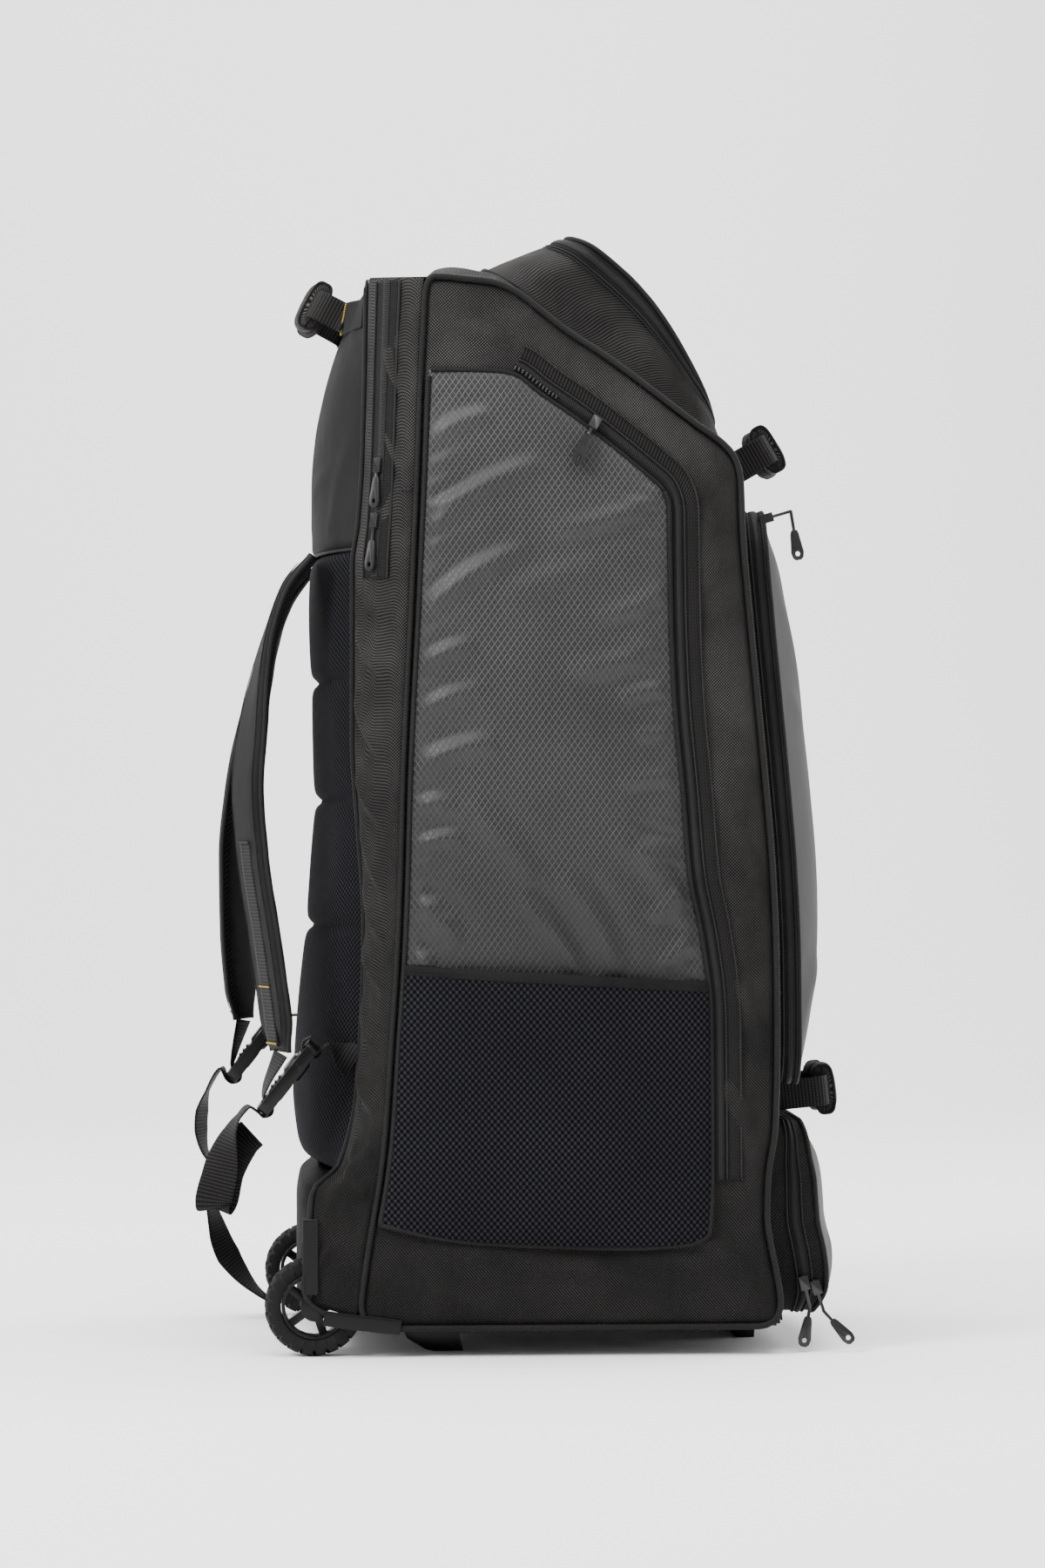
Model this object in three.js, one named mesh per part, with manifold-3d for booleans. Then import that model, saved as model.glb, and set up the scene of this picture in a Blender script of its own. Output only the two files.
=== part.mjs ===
// A tall wheeled kit bag with a backpack harness, standing upright on two wheels, two skids and a front foot.
// Millimetres, +Z up. The front with its pockets faces +X, the harness is on the -X side.
// -Y is the bag's right.
// Each panel ends just short of the round piping that is sewn into its seam.
// The panels so enclose an open space.
import * as THREE from "three";
import { mergeVertices } from "three/addons/utils/BufferGeometryUtils.js";
import Module from "manifold-3d";

const wasm = await Module();
wasm.setup();

// Body, from seam to seam
const ground_clearance = 22;
const body_height = 892;
const body_width = 360;
const body_depth = 352;
const back_x = -155;
const slope_drop = 167;
const panel_wall = 2.5;
const piping_radius = 2.8;
const seam_bend = 8;
const gap = 0.3;
const seam_ease = 2.4;
const seat_gap = 1.3;
const rear_room = 3.9;
const gusset_room = 4.3;
const side_crown = 6;
const front_crown = 5;
const top_crown = 28;
const heel_length = 76;
const heel_rise = 27;

// Rear of the body, between the seams where the side gussets meet the back
const rear_width = body_width - 97;
const gusset_bend = 8;
const pad_bottom = 156;
const pad_top = 688;
const pad_depth = 38;
const pad_wall = 14;
const groove_depth = 6;
const groove_height = 12;
const bat_pocket_bulge = 40;
const kick_plate_wall = 3;
const kick_plate_crown = 10;
const guard_wall = 1.5;
const guard_width = 14;
const guard_height = 64;
const guard_length = 66;

// Pockets
const pocket_wall = 2;
const side_pocket_crown = 16;
const side_zip_width = 22;
const zip_wall = 1.6;
const zip_room = 3.6;
const gather_pitch = 36;
const gather_depth = 2.2;
const mesh_pouch = 13;
const helmet_length = 250;
const helmet_width = body_width - 98;
const helmet_height = 83;
const helmet_crown = 8;
const helmet_back_lean = 30;
const helmet_front_lean = 26;
const helmet_side_lean = 10;
const front_pocket_low = 229;
const front_pocket_high = 722;
const front_pocket_width = body_width - 48;
const front_pocket_depth = 18;
const front_pocket_crown = 30;
const shoe_pocket_low = 31;
const shoe_pocket_high = 195;
const shoe_pocket_width = body_width - 54;
const shoe_pocket_depth = 40;
const shoe_pocket_crown = 15;
const pocket_corner = 42;

// Harness
const strap_width = 64;
const strap_thickness = 12;
const strap_spacing = 186;
const strap_flare = 34;
const strap_tilt = 16;
const strap_top = 684;
const strap_drop = 440;
const strap_stand = 11;
const strap_steps = 18;
const harness_web = 34;
const web_thickness = 1.8;
const web_root_rise = 14;
const buckle_spacing = body_width - 96;
const buckle_length = 74;
const buckle_width = 48;
const buckle_thickness = 11;
const buckle_bar = 6;
const buckle_slot = 7;
const buckle_angle = 52;
const right_tail_hang = 90;
const left_tail_hang = 211;

// Grab handles
const handle_span = 108;
const handle_tab = 14;
const handle_web = 26;
const sleeve_length = 70;
const sleeve_wall = 7;
const sleeve_height = 44;

// Wheels
const wheel_diameter = 85;
const wheel_x = -187;
const wheel_track = body_width - 46;
const tyre_width = 24;
const rim_diameter = 56;
const rim_width = 20;
const rim_wall = 3;
const hub_radius = 11;
const tread_depth = 3;
const lug_count = 15;
const spoke_count = 5;
const spoke_width = 7;
const axle_radius = 4;
const axle_clearance = 0.3;
const arch_clearance = 4.5;
const side_clearance = 2.5;
const housing_wall = 3;
const housing_front = 52;

// Feet and zip pulls
const skid_length = 54;
const skid_width = 26;
const skid_spacing = body_width - 120;
const skid_x = -86;
const foot_length = 22;
const foot_width = 96;
const foot_x = 194;
const pull_length = 26;
const pull_width = 11;
const pull_thickness = 3;
const pull_cord = 2.6;
const pull_eye = 2.2;
const slider_length = 12;
const slider_width = 8;
const slider_height = 4.4;

const half_width = body_width / 2;
const rear_half = rear_width / 2;
const base_z = ground_clearance + piping_radius;
const top_z = base_z + body_height;
const seam_room = piping_radius + seam_ease;
const panel_room = piping_radius + gap * 2;
const RIGHT = -1;
const LEFT = 1;

// The body's side view. Heights are shares of body_height, and depths shares of body_depth from back_x.
const SIDE_VIEW = [
  { at: 0.0, seam: 0.014, front: 1.043 },
  { at: 0.035, seam: 0.024, front: 1.034 },
  { at: 0.069, seam: 0.036, front: 1.017 },
  { at: 0.102, seam: 0.05, front: 1.003 },
  { at: 0.144, seam: 0.068, front: 1.006 },
  { at: 0.186, seam: 0.08, front: 1.023 },
  { at: 0.269, seam: 0.094, front: 1.028 },
  { at: 0.352, seam: 0.108, front: 1.026 },
  { at: 0.435, seam: 0.1165, front: 1.017 },
  { at: 0.517, seam: 0.122, front: 1.0 },
  { at: 0.6, seam: 0.131, front: 0.98 },
  { at: 0.683, seam: 0.142, front: 0.96 },
  { at: 0.766, seam: 0.151, front: 0.943 },
  { at: 0.813, seam: 0.156, front: 0.94 },
  { at: 0.9, seam: 0.164, front: 0.94 },
  { at: 1.0, seam: 0.176, front: 0.94 },
];

// The top edge from the back seam to the front shoulder. Across is a share of that run, drop a share of
// slope_drop, and rise a share of top_crown at the middle of the bag's width.
const TOP_EDGE = [
  { across: 0.0, drop: 0.0, rise: 0.35 },
  { across: 0.05, drop: 0.0, rise: 0.85 },
  { across: 0.12, drop: 0.01, rise: 1.0 },
  { across: 0.208, drop: 0.024, rise: 0.9 },
  { across: 0.279, drop: 0.066, rise: 0.8 },
  { across: 0.361, drop: 0.162, rise: 0.7 },
  { across: 0.442, drop: 0.263, rise: 0.6 },
  { across: 0.584, drop: 0.413, rise: 0.5 },
  { across: 0.721, drop: 0.575, rise: 0.42 },
  { across: 0.859, drop: 0.743, rise: 0.34 },
  { across: 0.941, drop: 0.838, rise: 0.28 },
  { across: 0.98, drop: 0.91, rise: 0.2 },
  { across: 1.0, drop: 1.0, rise: 0.1 },
];

// The rear seam: height as a share of body_height, depth as a share of body_depth, out as a share of the way
// from the rear seam's half width to the body's half width.
const REAR_SEAM = [
  { at: 0.0, depth: -0.102, out: 0.98 },
  { at: 0.105, depth: -0.102, out: 0.98 },
  { at: 0.13, depth: -0.094, out: 0.72 },
  { at: 0.152, depth: -0.03, out: 0.14 },
  { at: 0.225, depth: 0.014, out: 0.01 },
  { at: 0.384, depth: 0.031, out: 0.0 },
  { at: 0.477, depth: 0.017, out: 0.0 },
  { at: 0.56, depth: 0.003, out: 0.0 },
  { at: 0.728, depth: 0.003, out: 0.0 },
  { at: 0.77, depth: 0.017, out: 0.0 },
  { at: 0.837, depth: 0.028, out: 0.0 },
  { at: 1.0, depth: 0.037, out: 0.0 },
];

// How far the back pad stands out of the rear seam at the middle: shares of body_height and of pad_depth.
const PAD_SWELL = [
  { at: 0.147, swell: 0.5 },
  { at: 0.158, swell: 0.9 },
  { at: 0.175, swell: 1.15 },
  { at: 0.22, swell: 1.45 },
  { at: 0.3, swell: 1.42 },
  { at: 0.384, swell: 1.31 },
  { at: 0.43, swell: 1.16 },
  { at: 0.5, swell: 0.95 },
  { at: 0.56, swell: 0.88 },
  { at: 0.69, swell: 1.0 },
  { at: 0.745, swell: 0.95 },
];
const PAD_GROOVES = [0.38, 0.503, 0.62];

// The same for the long pocket above the pad, with shares of bat_pocket_bulge.
const BAT_SWELL = [
  { at: 0.743, swell: 0.86 },
  { at: 0.78, swell: 1.0 },
  { at: 0.825, swell: 1.05 },
  { at: 0.865, swell: 1.0 },
  { at: 0.9, swell: 0.87 },
  { at: 0.93, swell: 0.7 },
  { at: 0.957, swell: 0.5 },
  { at: 0.975, swell: 0.3 },
  { at: 1.0, swell: 0.0 },
];

// The side pocket from its bottom to its top: the heights of its back and front edges as shares of
// body_height, and its front edge's depth as a share of body_depth.
const SIDE_POCKET = [
  { up: 0.0, back: 0.099, front: 0.079, depth: 0.82 },
  { up: 0.03, back: 0.115, front: 0.09, depth: 0.862 },
  { up: 0.1, back: 0.16, front: 0.14, depth: 0.868 },
  { up: 0.2, back: 0.24, front: 0.235, depth: 0.866 },
  { up: 0.27, back: 0.31, front: 0.3, depth: 0.864 },
  { up: 0.36, back: 0.4, front: 0.37, depth: 0.843 },
  { up: 0.45, back: 0.47, front: 0.43, depth: 0.813 },
  { up: 0.56, back: 0.56, front: 0.51, depth: 0.796 },
  { up: 0.68, back: 0.66, front: 0.6, depth: 0.775 },
  { up: 0.8, back: 0.75, front: 0.68, depth: 0.767 },
  { up: 0.88, back: 0.82, front: 0.74, depth: 0.765 },
  { up: 0.95, back: 0.88, front: 0.781, depth: 0.764 },
  { up: 1.0, back: 0.911, front: 0.8, depth: 0.748 },
];
const mesh_pocket_share = 0.3;

// How the pocket's top and bottom edges fall from back to front: shares of the run and of the fall.
const POCKET_EDGES = [
  { across: 0.0, top: 0.0, bottom: 0.0 },
  { across: 0.15, top: 0.0, bottom: 0.5 },
  { across: 0.28, top: 0.005, bottom: 0.8 },
  { across: 0.36, top: 0.03, bottom: 0.9 },
  { across: 0.48, top: 0.2, bottom: 1.0 },
  { across: 0.64, top: 0.42, bottom: 1.1 },
  { across: 0.82, top: 0.7, bottom: 1.15 },
  { across: 1.0, top: 1.0, bottom: 1.0 },
];

// The upper edge of the helmet pocket's wall: along is a share of its length, rise a share of helmet_height.
const HELMET_EDGE = [
  { along: 0.0, rise: 0.97 },
  { along: 0.12, rise: 1.0 },
  { along: 0.3, rise: 0.97 },
  { along: 0.45, rise: 0.9 },
  { along: 0.6, rise: 0.78 },
  { along: 0.75, rise: 0.62 },
  { along: 0.88, rise: 0.46 },
  { along: 1.0, rise: 0.3 },
];

// How deep the shoe pocket is at each height: shares of its height and of shoe_pocket_depth.
const SHOE_DEPTH = [
  { at: 0.0, deep: 0.68 },
  { at: 0.15, deep: 0.98 },
  { at: 0.35, deep: 1.08 },
  { at: 0.7, deep: 0.98 },
  { at: 0.88, deep: 0.75 },
  { at: 1.0, deep: 0.58 },
];

// The line of each shoulder strap, both columns as shares of strap_drop.
const STRAP_LINE = {
  right: [
    { down: 0.0, out: 0.0 },
    { down: 0.066, out: 0.05 },
    { down: 0.186, out: 0.09 },
    { down: 0.314, out: 0.114 },
    { down: 0.453, out: 0.127 },
    { down: 0.59, out: 0.117 },
    { down: 0.743, out: 0.094 },
    { down: 0.9, out: 0.072 },
    { down: 0.97, out: 0.063 },
  ],
  left: [
    { down: 0.0, out: 0.0 },
    { down: 0.066, out: 0.05 },
    { down: 0.186, out: 0.09 },
    { down: 0.314, out: 0.118 },
    { down: 0.453, out: 0.144 },
    { down: 0.59, out: 0.157 },
    { down: 0.743, out: 0.155 },
    { down: 0.88, out: 0.144 },
    { down: 0.93, out: 0.139 },
  ],
};

// Each buckle's centre from the foot of its strap: shares of buckle_length.
const BUCKLE_AT = { right: { x: 0.0789, z: -0.3 }, left: { x: 0.1389, z: -0.3486 } };

// The free webbing below each buckle's slot: shares of that tail's hang, and the twist of its width.
const TAIL_HANG = { right: right_tail_hang, left: left_tail_hang };
const STRAP_TAIL = {
  right: [
    { x: -0.1889, y: 0.0, z: -0.0333, twist: 6 },
    { x: -0.2889, y: 0.0, z: -0.1333, twist: 20 },
    { x: -0.3667, y: 0.0, z: -0.2778, twist: 42 },
    { x: -0.4222, y: 0.0, z: -0.4667, twist: 66 },
    { x: -0.4667, y: 0.0, z: -0.6889, twist: 80 },
    { x: -0.5222, y: 0.0111, z: -0.9333, twist: 80 },
    { x: -0.5111, y: 0.0444, z: -1.0, twist: 80 },
    { x: -0.4667, y: 0.0778, z: -0.9333, twist: 80 },
    { x: -0.4, y: 0.0889, z: -0.6444, twist: 78 },
    { x: -0.2667, y: 0.0889, z: -0.4, twist: 72 },
    { x: -0.1556, y: 0.0889, z: -0.2889, twist: 66 },
  ],
  left: [
    { x: -0.0664, y: 0.0, z: 0.0095, twist: 5 },
    { x: -0.1137, y: 0.0, z: -0.0569, twist: 20 },
    { x: -0.1469, y: 0.0, z: -0.1517, twist: 20 },
    { x: -0.1564, y: 0.0, z: -0.2464, twist: 10 },
    { x: -0.1422, y: 0.0, z: -0.3412, twist: 0 },
    { x: -0.1043, y: 0.0, z: -0.4265, twist: 10 },
    { x: -0.1137, y: 0.0, z: -0.5592, twist: 20 },
    { x: -0.09, y: 0.0, z: -0.6682, twist: 34 },
    { x: -0.0521, y: 0.0, z: -0.7773, twist: 44 },
    { x: 0.019, y: 0.0, z: -0.8863, twist: 30 },
    { x: 0.09, y: 0.0, z: -0.9621, twist: 12 },
    { x: 0.1422, y: 0.0, z: -1.0, twist: 4 },
  ],
};

// Where each grab handle is sewn on: the height, and the angle at which it stands out of the bag.
const HANDLES = {
  top_handle: { face: "back", from: "top", rise: -23.8, lean: 152, reach: 32, lift: 5 },
  front_handle_upper: { face: "shoulder", from: "shoulder", rise: 12.2, lean: 30, reach: 47, lift: 1 },
  front_handle_lower: { face: "front", from: "pockets", rise: 0, lean: 6, reach: 55, lift: 3 },
};

// Materials
function finish(name, color, roughness, metalness = 0) {
  const made = new THREE.MeshStandardMaterial({ color, roughness, metalness });
  made.name = name;
  return made;
}
const ballistic_nylon = finish("ballistic_nylon", 0x1b1b1c, 0.82);
const ripstop_nylon = finish("ripstop_nylon", 0x232426, 0.45);
const smooth_nylon = finish("smooth_nylon", 0x29292b, 0.6);
const air_mesh = finish("air_mesh", 0x131319, 0.95);
const coated_cloth = finish("coated_cloth", 0x3a3835, 0.3);
const zip_tape = finish("zip_tape", 0x1a1a1a, 0.7);
const piping_cord = finish("piping_cord", 0x141414, 0.55);
const webbing = finish("webbing", 0x161616, 0.75);
const moulded_plastic = finish("moulded_plastic", 0x101011, 0.4);
const tyre_rubber = finish("tyre_rubber", 0x1d1d1e, 0.85);
const pull_metal = finish("pull_metal", 0x2a2a2c, 0.35, 0.8);

const { lerp, clamp, degToRad } = THREE.MathUtils;
const V = (x, y, z) => new THREE.Vector3(x, y, z);
const steps = (count, from = 0, to = 1) =>
  Array.from({ length: count + 1 }, (_, i) => from + ((to - from) * i) / count);
const arch = (share, power = 4) => 1 - Math.abs(2 * share - 1) ** power;

// A table's column at a value of another column, by straight lines between its rows
function read(rows, key, at, column) {
  const last = rows.length - 1;
  if (at <= rows[0][key]) return rows[0][column];
  if (at >= rows[last][key]) return rows[last][column];
  const i = rows.findIndex((row) => row[key] > at) - 1;
  const share = (at - rows[i][key]) / (rows[i + 1][key] - rows[i][key]);
  return lerp(rows[i][column], rows[i + 1][column], share);
}

// The body's surfaces, which every panel, pocket and strap is laid on
const heightShare = (z) => (z - base_z) / body_height;
const seamX = (z) => back_x + body_depth * read(SIDE_VIEW, "at", heightShare(z), "seam");
const frontX = (z) => back_x + body_depth * read(SIDE_VIEW, "at", heightShare(z), "front");
const rearX = (z) => back_x + body_depth * read(REAR_SEAM, "at", heightShare(z), "depth");
const rearY = (z) => lerp(rear_half, half_width, read(REAR_SEAM, "at", heightShare(z), "out"));
const shoulder_z = top_z - slope_drop;
const top_back = seamX(top_z);
const top_front = frontX(shoulder_z);
const acrossTop = (x) => (x - top_back) / (top_front - top_back);
const edgeZ = (x) => top_z - slope_drop * read(TOP_EDGE, "across", acrossTop(x), "drop");
const domeZ = (x) => top_crown * read(TOP_EDGE, "across", acrossTop(x), "rise");
const topZ = (x, y) => edgeZ(x) + domeZ(x) * (1 - (y / half_width) ** 2);
const heelZ = (x) => base_z + heel_rise * clamp((back_x + heel_length / 2 - x) / heel_length, 0, 1);

function sideY(x, z) {
  const across = clamp((x - seamX(z)) / (frontX(z) - seamX(z)), 0, 1);
  const up = clamp((z - base_z) / (edgeZ(x) - base_z), 0, 1);
  return half_width + side_crown * arch(across) * arch(up);
}

const frontSurface = (y, z) => frontX(z) + front_crown * (1 - (y / half_width) ** 2);

function padSurface(y, z) {
  const at = heightShare(z);
  const round = 1 - Math.abs(y / rearY(z)) ** 3;
  const swell = pad_depth * read(PAD_SWELL, "at", at, "swell") * round;
  const near = Math.min(...PAD_GROOVES.map((groove) => Math.abs(at - groove) * body_height));
  const dip = groove_depth * Math.max(0, 1 - near / (groove_height / 2));
  return rearX(z) - swell + dip * round;
}

function batSurface(y, z) {
  const swell = bat_pocket_bulge * read(BAT_SWELL, "at", heightShare(z), "swell");
  return rearX(z) - swell * (1 - Math.abs(y / rear_half) ** 2.4);
}

function geometryOf(points, index) {
  const made = new THREE.BufferGeometry();
  const numbers = points.flatMap((p) => [p.x, p.y, p.z]);
  made.setAttribute("position", new THREE.Float32BufferAttribute(numbers, 3));
  made.setIndex(index);
  return facingOut(made);
}

// Turns the faces round if the enclosed volume comes out negative
function facingOut(geometry) {
  const p = geometry.getAttribute("position");
  const index = geometry.index.array;
  let volume = 0;
  for (let i = 0; i < index.length; i += 3) {
    const [a, b, c] = [0, 1, 2].map((k) => V(0, 0, 0).fromBufferAttribute(p, index[i + k]));
    volume += a.dot(b.cross(c));
  }
  if (volume < 0) {
    for (let i = 0; i < index.length; i += 3) {
      [index[i + 1], index[i + 2]] = [index[i + 2], index[i + 1]];
    }
  }
  return geometry;
}

const gridOf = (rows, columns, at) => rows.map((u) => columns.map((v) => at(u, v)));

// A closed solid between two grids of points. A ring's grid closes on itself along its first index.
function solidBetween(outer, inner, ring = false) {
  const rows = outer.length;
  const columns = outer[0].length;
  const index = [];
  const at = (side, i, j) => side * rows * columns + (i % rows) * columns + j;
  const quad = (a, b, c, d) => index.push(a, b, c, a, c, d);
  const lastRow = ring ? rows : rows - 1;
  const end = columns - 1;
  for (let i = 0; i < lastRow; i++) {
    for (let j = 0; j < end; j++) {
      quad(at(0, i, j), at(0, i + 1, j), at(0, i + 1, j + 1), at(0, i, j + 1));
      quad(at(1, i, j), at(1, i, j + 1), at(1, i + 1, j + 1), at(1, i + 1, j));
    }
    quad(at(0, i, 0), at(1, i, 0), at(1, i + 1, 0), at(0, i + 1, 0));
    quad(at(0, i, end), at(0, i + 1, end), at(1, i + 1, end), at(1, i, end));
  }
  if (!ring) {
    for (let j = 0; j < end; j++) {
      quad(at(0, 0, j), at(0, 0, j + 1), at(1, 0, j + 1), at(1, 0, j));
      quad(at(0, rows - 1, j), at(1, rows - 1, j), at(1, rows - 1, j + 1), at(0, rows - 1, j + 1));
    }
  }
  return geometryOf([...outer.flat(), ...inner.flat()], index);
}

// The grid moved along its own normals, by a reach that is negative on the other side
function beside(grid, reach, ring = false) {
  const rows = grid.length;
  const near = (i) => (ring ? (i + rows) % rows : clamp(i, 0, rows - 1));
  return grid.map((row, i) =>
    row.map((p, j) => {
      const down = grid[near(i + 1)][j].clone().sub(grid[near(i - 1)][j]);
      const over = row[Math.min(j + 1, row.length - 1)].clone().sub(row[Math.max(j - 1, 0)]);
      return p.clone().addScaledVector(down.cross(over).normalize(), reach);
    }),
  );
}

// The sign of the reach that moves the grid's middle away from a point
function outSign(grid, from, ring = false) {
  const i = Math.floor(grid.length / 2);
  const j = Math.floor(grid[0].length / 2);
  return beside(grid, 1, ring)[i][j].distanceTo(from) > grid[i][j].distanceTo(from) ? 1 : -1;
}

// A panel whose outer face is the grid and whose thickness grows towards the body's middle
const panel = (grid, wall) => solidBetween(grid, beside(grid, -wall * outSign(grid, core)));

// A cover over a ring of points: rings at shares of the way from the centre, and a point at the centre
function cover(ringAt, shares, wall, direction) {
  const rings = shares.map(ringAt);
  const count = rings[0].length;
  const points = [...rings.flat(), ringAt(0)[0]];
  const layer = points.length;
  const inner = points.map((p) => p.clone().addScaledVector(direction, -wall));
  const index = [];
  const quad = (a, b, c, d) => index.push(a, b, c, a, c, d);
  const last = (rings.length - 1) * count;
  for (let i = 0; i < count; i++) {
    const next = (i + 1) % count;
    for (let k = 0; k < last; k += count) {
      quad(k + i, k + next, k + count + next, k + count + i);
      quad(layer + k + i, layer + k + count + i, layer + k + count + next, layer + k + next);
    }
    index.push(last + i, last + next, layer - 1);
    index.push(layer + last + i, 2 * layer - 1, layer + last + next);
    quad(i, layer + i, layer + next, next);
  }
  return geometryOf([...points, ...inner], index);
}

// Points round a rectangle with round corners, as shares from -0.5 to 0.5 of its width and height
function roundedRing(width, height, corner, longest = 110) {
  const arcs = [
    [1, 1, 0],
    [-1, 1, 0.5],
    [-1, -1, 1],
    [1, -1, 1.5],
  ];
  const ring = arcs.flatMap(([sx, sy, turn]) => {
    const arc = steps(3, turn, turn + 0.5).map((t) => ({
      u: (sx * (width / 2 - corner) + corner * Math.cos(t * Math.PI)) / width,
      v: (sy * (height / 2 - corner) + corner * Math.sin(t * Math.PI)) / height,
    }));
    return arc;
  });
  return ring.flatMap((p, i) => {
    const next = ring[(i + 1) % ring.length];
    const span = Math.hypot((next.u - p.u) * width, (next.v - p.v) * height);
    const parts = Math.max(1, Math.round(span / longest));
    return steps(parts).slice(0, -1).map((t) => ({ u: lerp(p.u, next.u, t), v: lerp(p.v, next.v, t) }));
  });
}

function solidOf(geometry) {
  const bare = geometry.clone();
  bare.deleteAttribute("normal");
  bare.deleteAttribute("uv");
  const merged = mergeVertices(bare, 1e-4);
  const vertProperties = merged.getAttribute("position").array;
  const triVerts = new Uint32Array(merged.index.array);
  return new wasm.Manifold(new wasm.Mesh({ numProp: 3, vertProperties, triVerts }));
}

function geometryFrom(solid) {
  const mesh = solid.getMesh();
  const made = new THREE.BufferGeometry();
  made.setAttribute("position", new THREE.Float32BufferAttribute(mesh.vertProperties, 3));
  made.setIndex(Array.from(mesh.triVerts));
  return made;
}

const fuse = (first, ...others) =>
  geometryFrom(others.reduce((whole, next) => whole.add(solidOf(next)), solidOf(first)));
const cut = (from, ...tools) =>
  geometryFrom(tools.reduce((whole, tool) => whole.subtract(solidOf(tool)), solidOf(from)));

// A box between two corners, and a cylinder along Y
function block(x0, x1, y0, y1, z0, z1) {
  const made = new THREE.BoxGeometry(x1 - x0, Math.abs(y1 - y0), z1 - z0);
  return made.translate((x0 + x1) / 2, (y0 + y1) / 2, (z0 + z1) / 2);
}
function rodY(radius, y0, y1, x, z, sides = 32) {
  const made = new THREE.CylinderGeometry(radius, radius, Math.abs(y1 - y0), sides);
  return made.translate(x, (y0 + y1) / 2, z);
}

// An outline of x and z, extruded along Y from one value to another
function plateY(outline, y0, y1) {
  const shape = new THREE.Shape(outline.map(([x, z]) => new THREE.Vector2(x, z)));
  const made = new THREE.ExtrudeGeometry(shape, { depth: Math.abs(y1 - y0), bevelEnabled: false });
  return made.rotateX(Math.PI / 2).translate(0, Math.max(y0, y1), 0);
}

// A flat strap: points along it and the direction of its width at each
function ribbon(points, across, width, thickness) {
  const edges = (p, i) => [-0.5, 0.5].map((side) => p.clone().addScaledVector(across[i], side * width));
  const middle = points.map(edges);
  return solidBetween(beside(middle, thickness / 2), beside(middle, -thickness / 2));
}

function circle(radius, sides) {
  return new THREE.Shape(
    steps(sides).slice(0, -1).map((t) => {
      const turn = 2 * Math.PI * t;
      return new THREE.Vector2(radius * Math.cos(turn), radius * Math.sin(turn));
    }),
  );
}

const core = V(back_x + body_depth / 2, 0, base_z + body_height / 2);
const bag = new THREE.Group();

function add(name, geometry, material, parent = bag) {
  const mesh = new THREE.Mesh(geometry, material);
  mesh.name = name;
  parent.add(mesh);
  return mesh;
}

// Body panels
function sidePanel(side) {
  const rows = SIDE_VIEW.map((row) => row.at);
  const grid = gridOf(rows, steps(6), (up, across) => {
    const edge = edgeZ(lerp(top_back, top_front, across)) - seam_room;
    const z = lerp(base_z + seam_room, edge, up);
    const x = lerp(seamX(z) + seam_room, frontX(z) - seam_room, across);
    return V(x, side * sideY(x, z), z);
  });
  const inner = grid.map((row) => row.map((p) => V(p.x, p.y - side * panel_wall, p.z)));
  return solidBetween(grid, inner);
}

// A run of straight lines, so that a tube along it turns exactly at its points
class SeamLine extends THREE.Curve {
  constructor(points) {
    super();
    this.points = points;
  }
  getPoint(t, target = new THREE.Vector3()) {
    const place = t * (this.points.length - 1);
    const i = Math.min(Math.floor(place), this.points.length - 2);
    return target.copy(this.points[i]).lerp(this.points[i + 1], place - i);
  }
  getPointAt(t, target) {
    return this.getPoint(t, target);
  }
  getTangentAt(t, target) {
    return this.getTangent(t, target);
  }
}

// One cord round the whole side seam, with its two ends meeting under the base
function sidePiping(side) {
  const heights = SIDE_VIEW.slice(1).map((row) => base_z + row.at * body_height);
  const up = [base_z + seam_bend, ...heights].map((z) => [seamX(z), z]);
  const stations = TOP_EDGE.slice(1).map((row) => lerp(top_back, top_front, row.across));
  const over = stations.map((x) => [x, edgeZ(x)]);
  const low = [base_z + seam_bend, ...heights.filter((z) => z < shoulder_z - slope_drop / 8)];
  const down = low.map((z) => [frontX(z), z]).reverse();
  const [rear, front] = [seamX(base_z) + seam_bend, frontX(base_z) - seam_bend];
  const meet = lerp(rear, front, 0.25);
  const head = [[meet - gap, base_z], [rear, base_z], ...up];
  const route = [...head, ...over, ...down, [front, base_z], [meet + gap, base_z]];
  const path = new SeamLine(route.map(([x, z]) => V(x, side * half_width, z)));
  const shape = circle(piping_radius, 5);
  const steps_along = route.length - 1;
  return new THREE.ExtrudeGeometry(shape, { steps: steps_along, extrudePath: path, bevelEnabled: false });
}

function topPanel() {
  const reach = half_width - panel_room;
  const corner = half_width - rear_half;
  const grid = gridOf(TOP_EDGE.map((row) => row.across), steps(6, -reach, reach), (across, y) => {
    const shift = (top_back - rearX(top_z)) * clamp((half_width - Math.abs(y)) / corner, 0, 1);
    const start = top_back - shift + gap + piping_radius;
    const station = lerp(top_back, top_front, across);
    const x = clamp(station, start, top_front - seam_room);
    return V(x, y, topZ(station, y) - (across === 1 ? seam_room : 0));
  });
  return panel(grid, panel_wall);
}

function frontPanel() {
  const reach = half_width - panel_room;
  const rows = SIDE_VIEW.filter((row) => row.at < heightShare(shoulder_z)).map((row) => row.at);
  const end = heightShare(shoulder_z - piping_radius * 2);
  const heights = [...rows.map((at) => Math.max(at, (seam_room + panel_wall) / body_height)), end];
  const grid = gridOf(heights.map((at) => base_z + at * body_height), steps(6, -reach, reach), (z, y) =>
    V(frontSurface(y, z), y, z),
  );
  return panel(grid, panel_wall);
}

function wheelWell(side, room) {
  const inner = side * (wheel_track / 2 - tyre_width / 2 - side_clearance - housing_wall - room);
  const outer = side * (body_width + room);
  const top = wheel_diameter / 2 + wheel_diameter / 2 + arch_clearance + housing_wall + room;
  return block(wheel_x - wheel_diameter, wheel_x + housing_front + room, inner, outer, -room, top);
}

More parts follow.
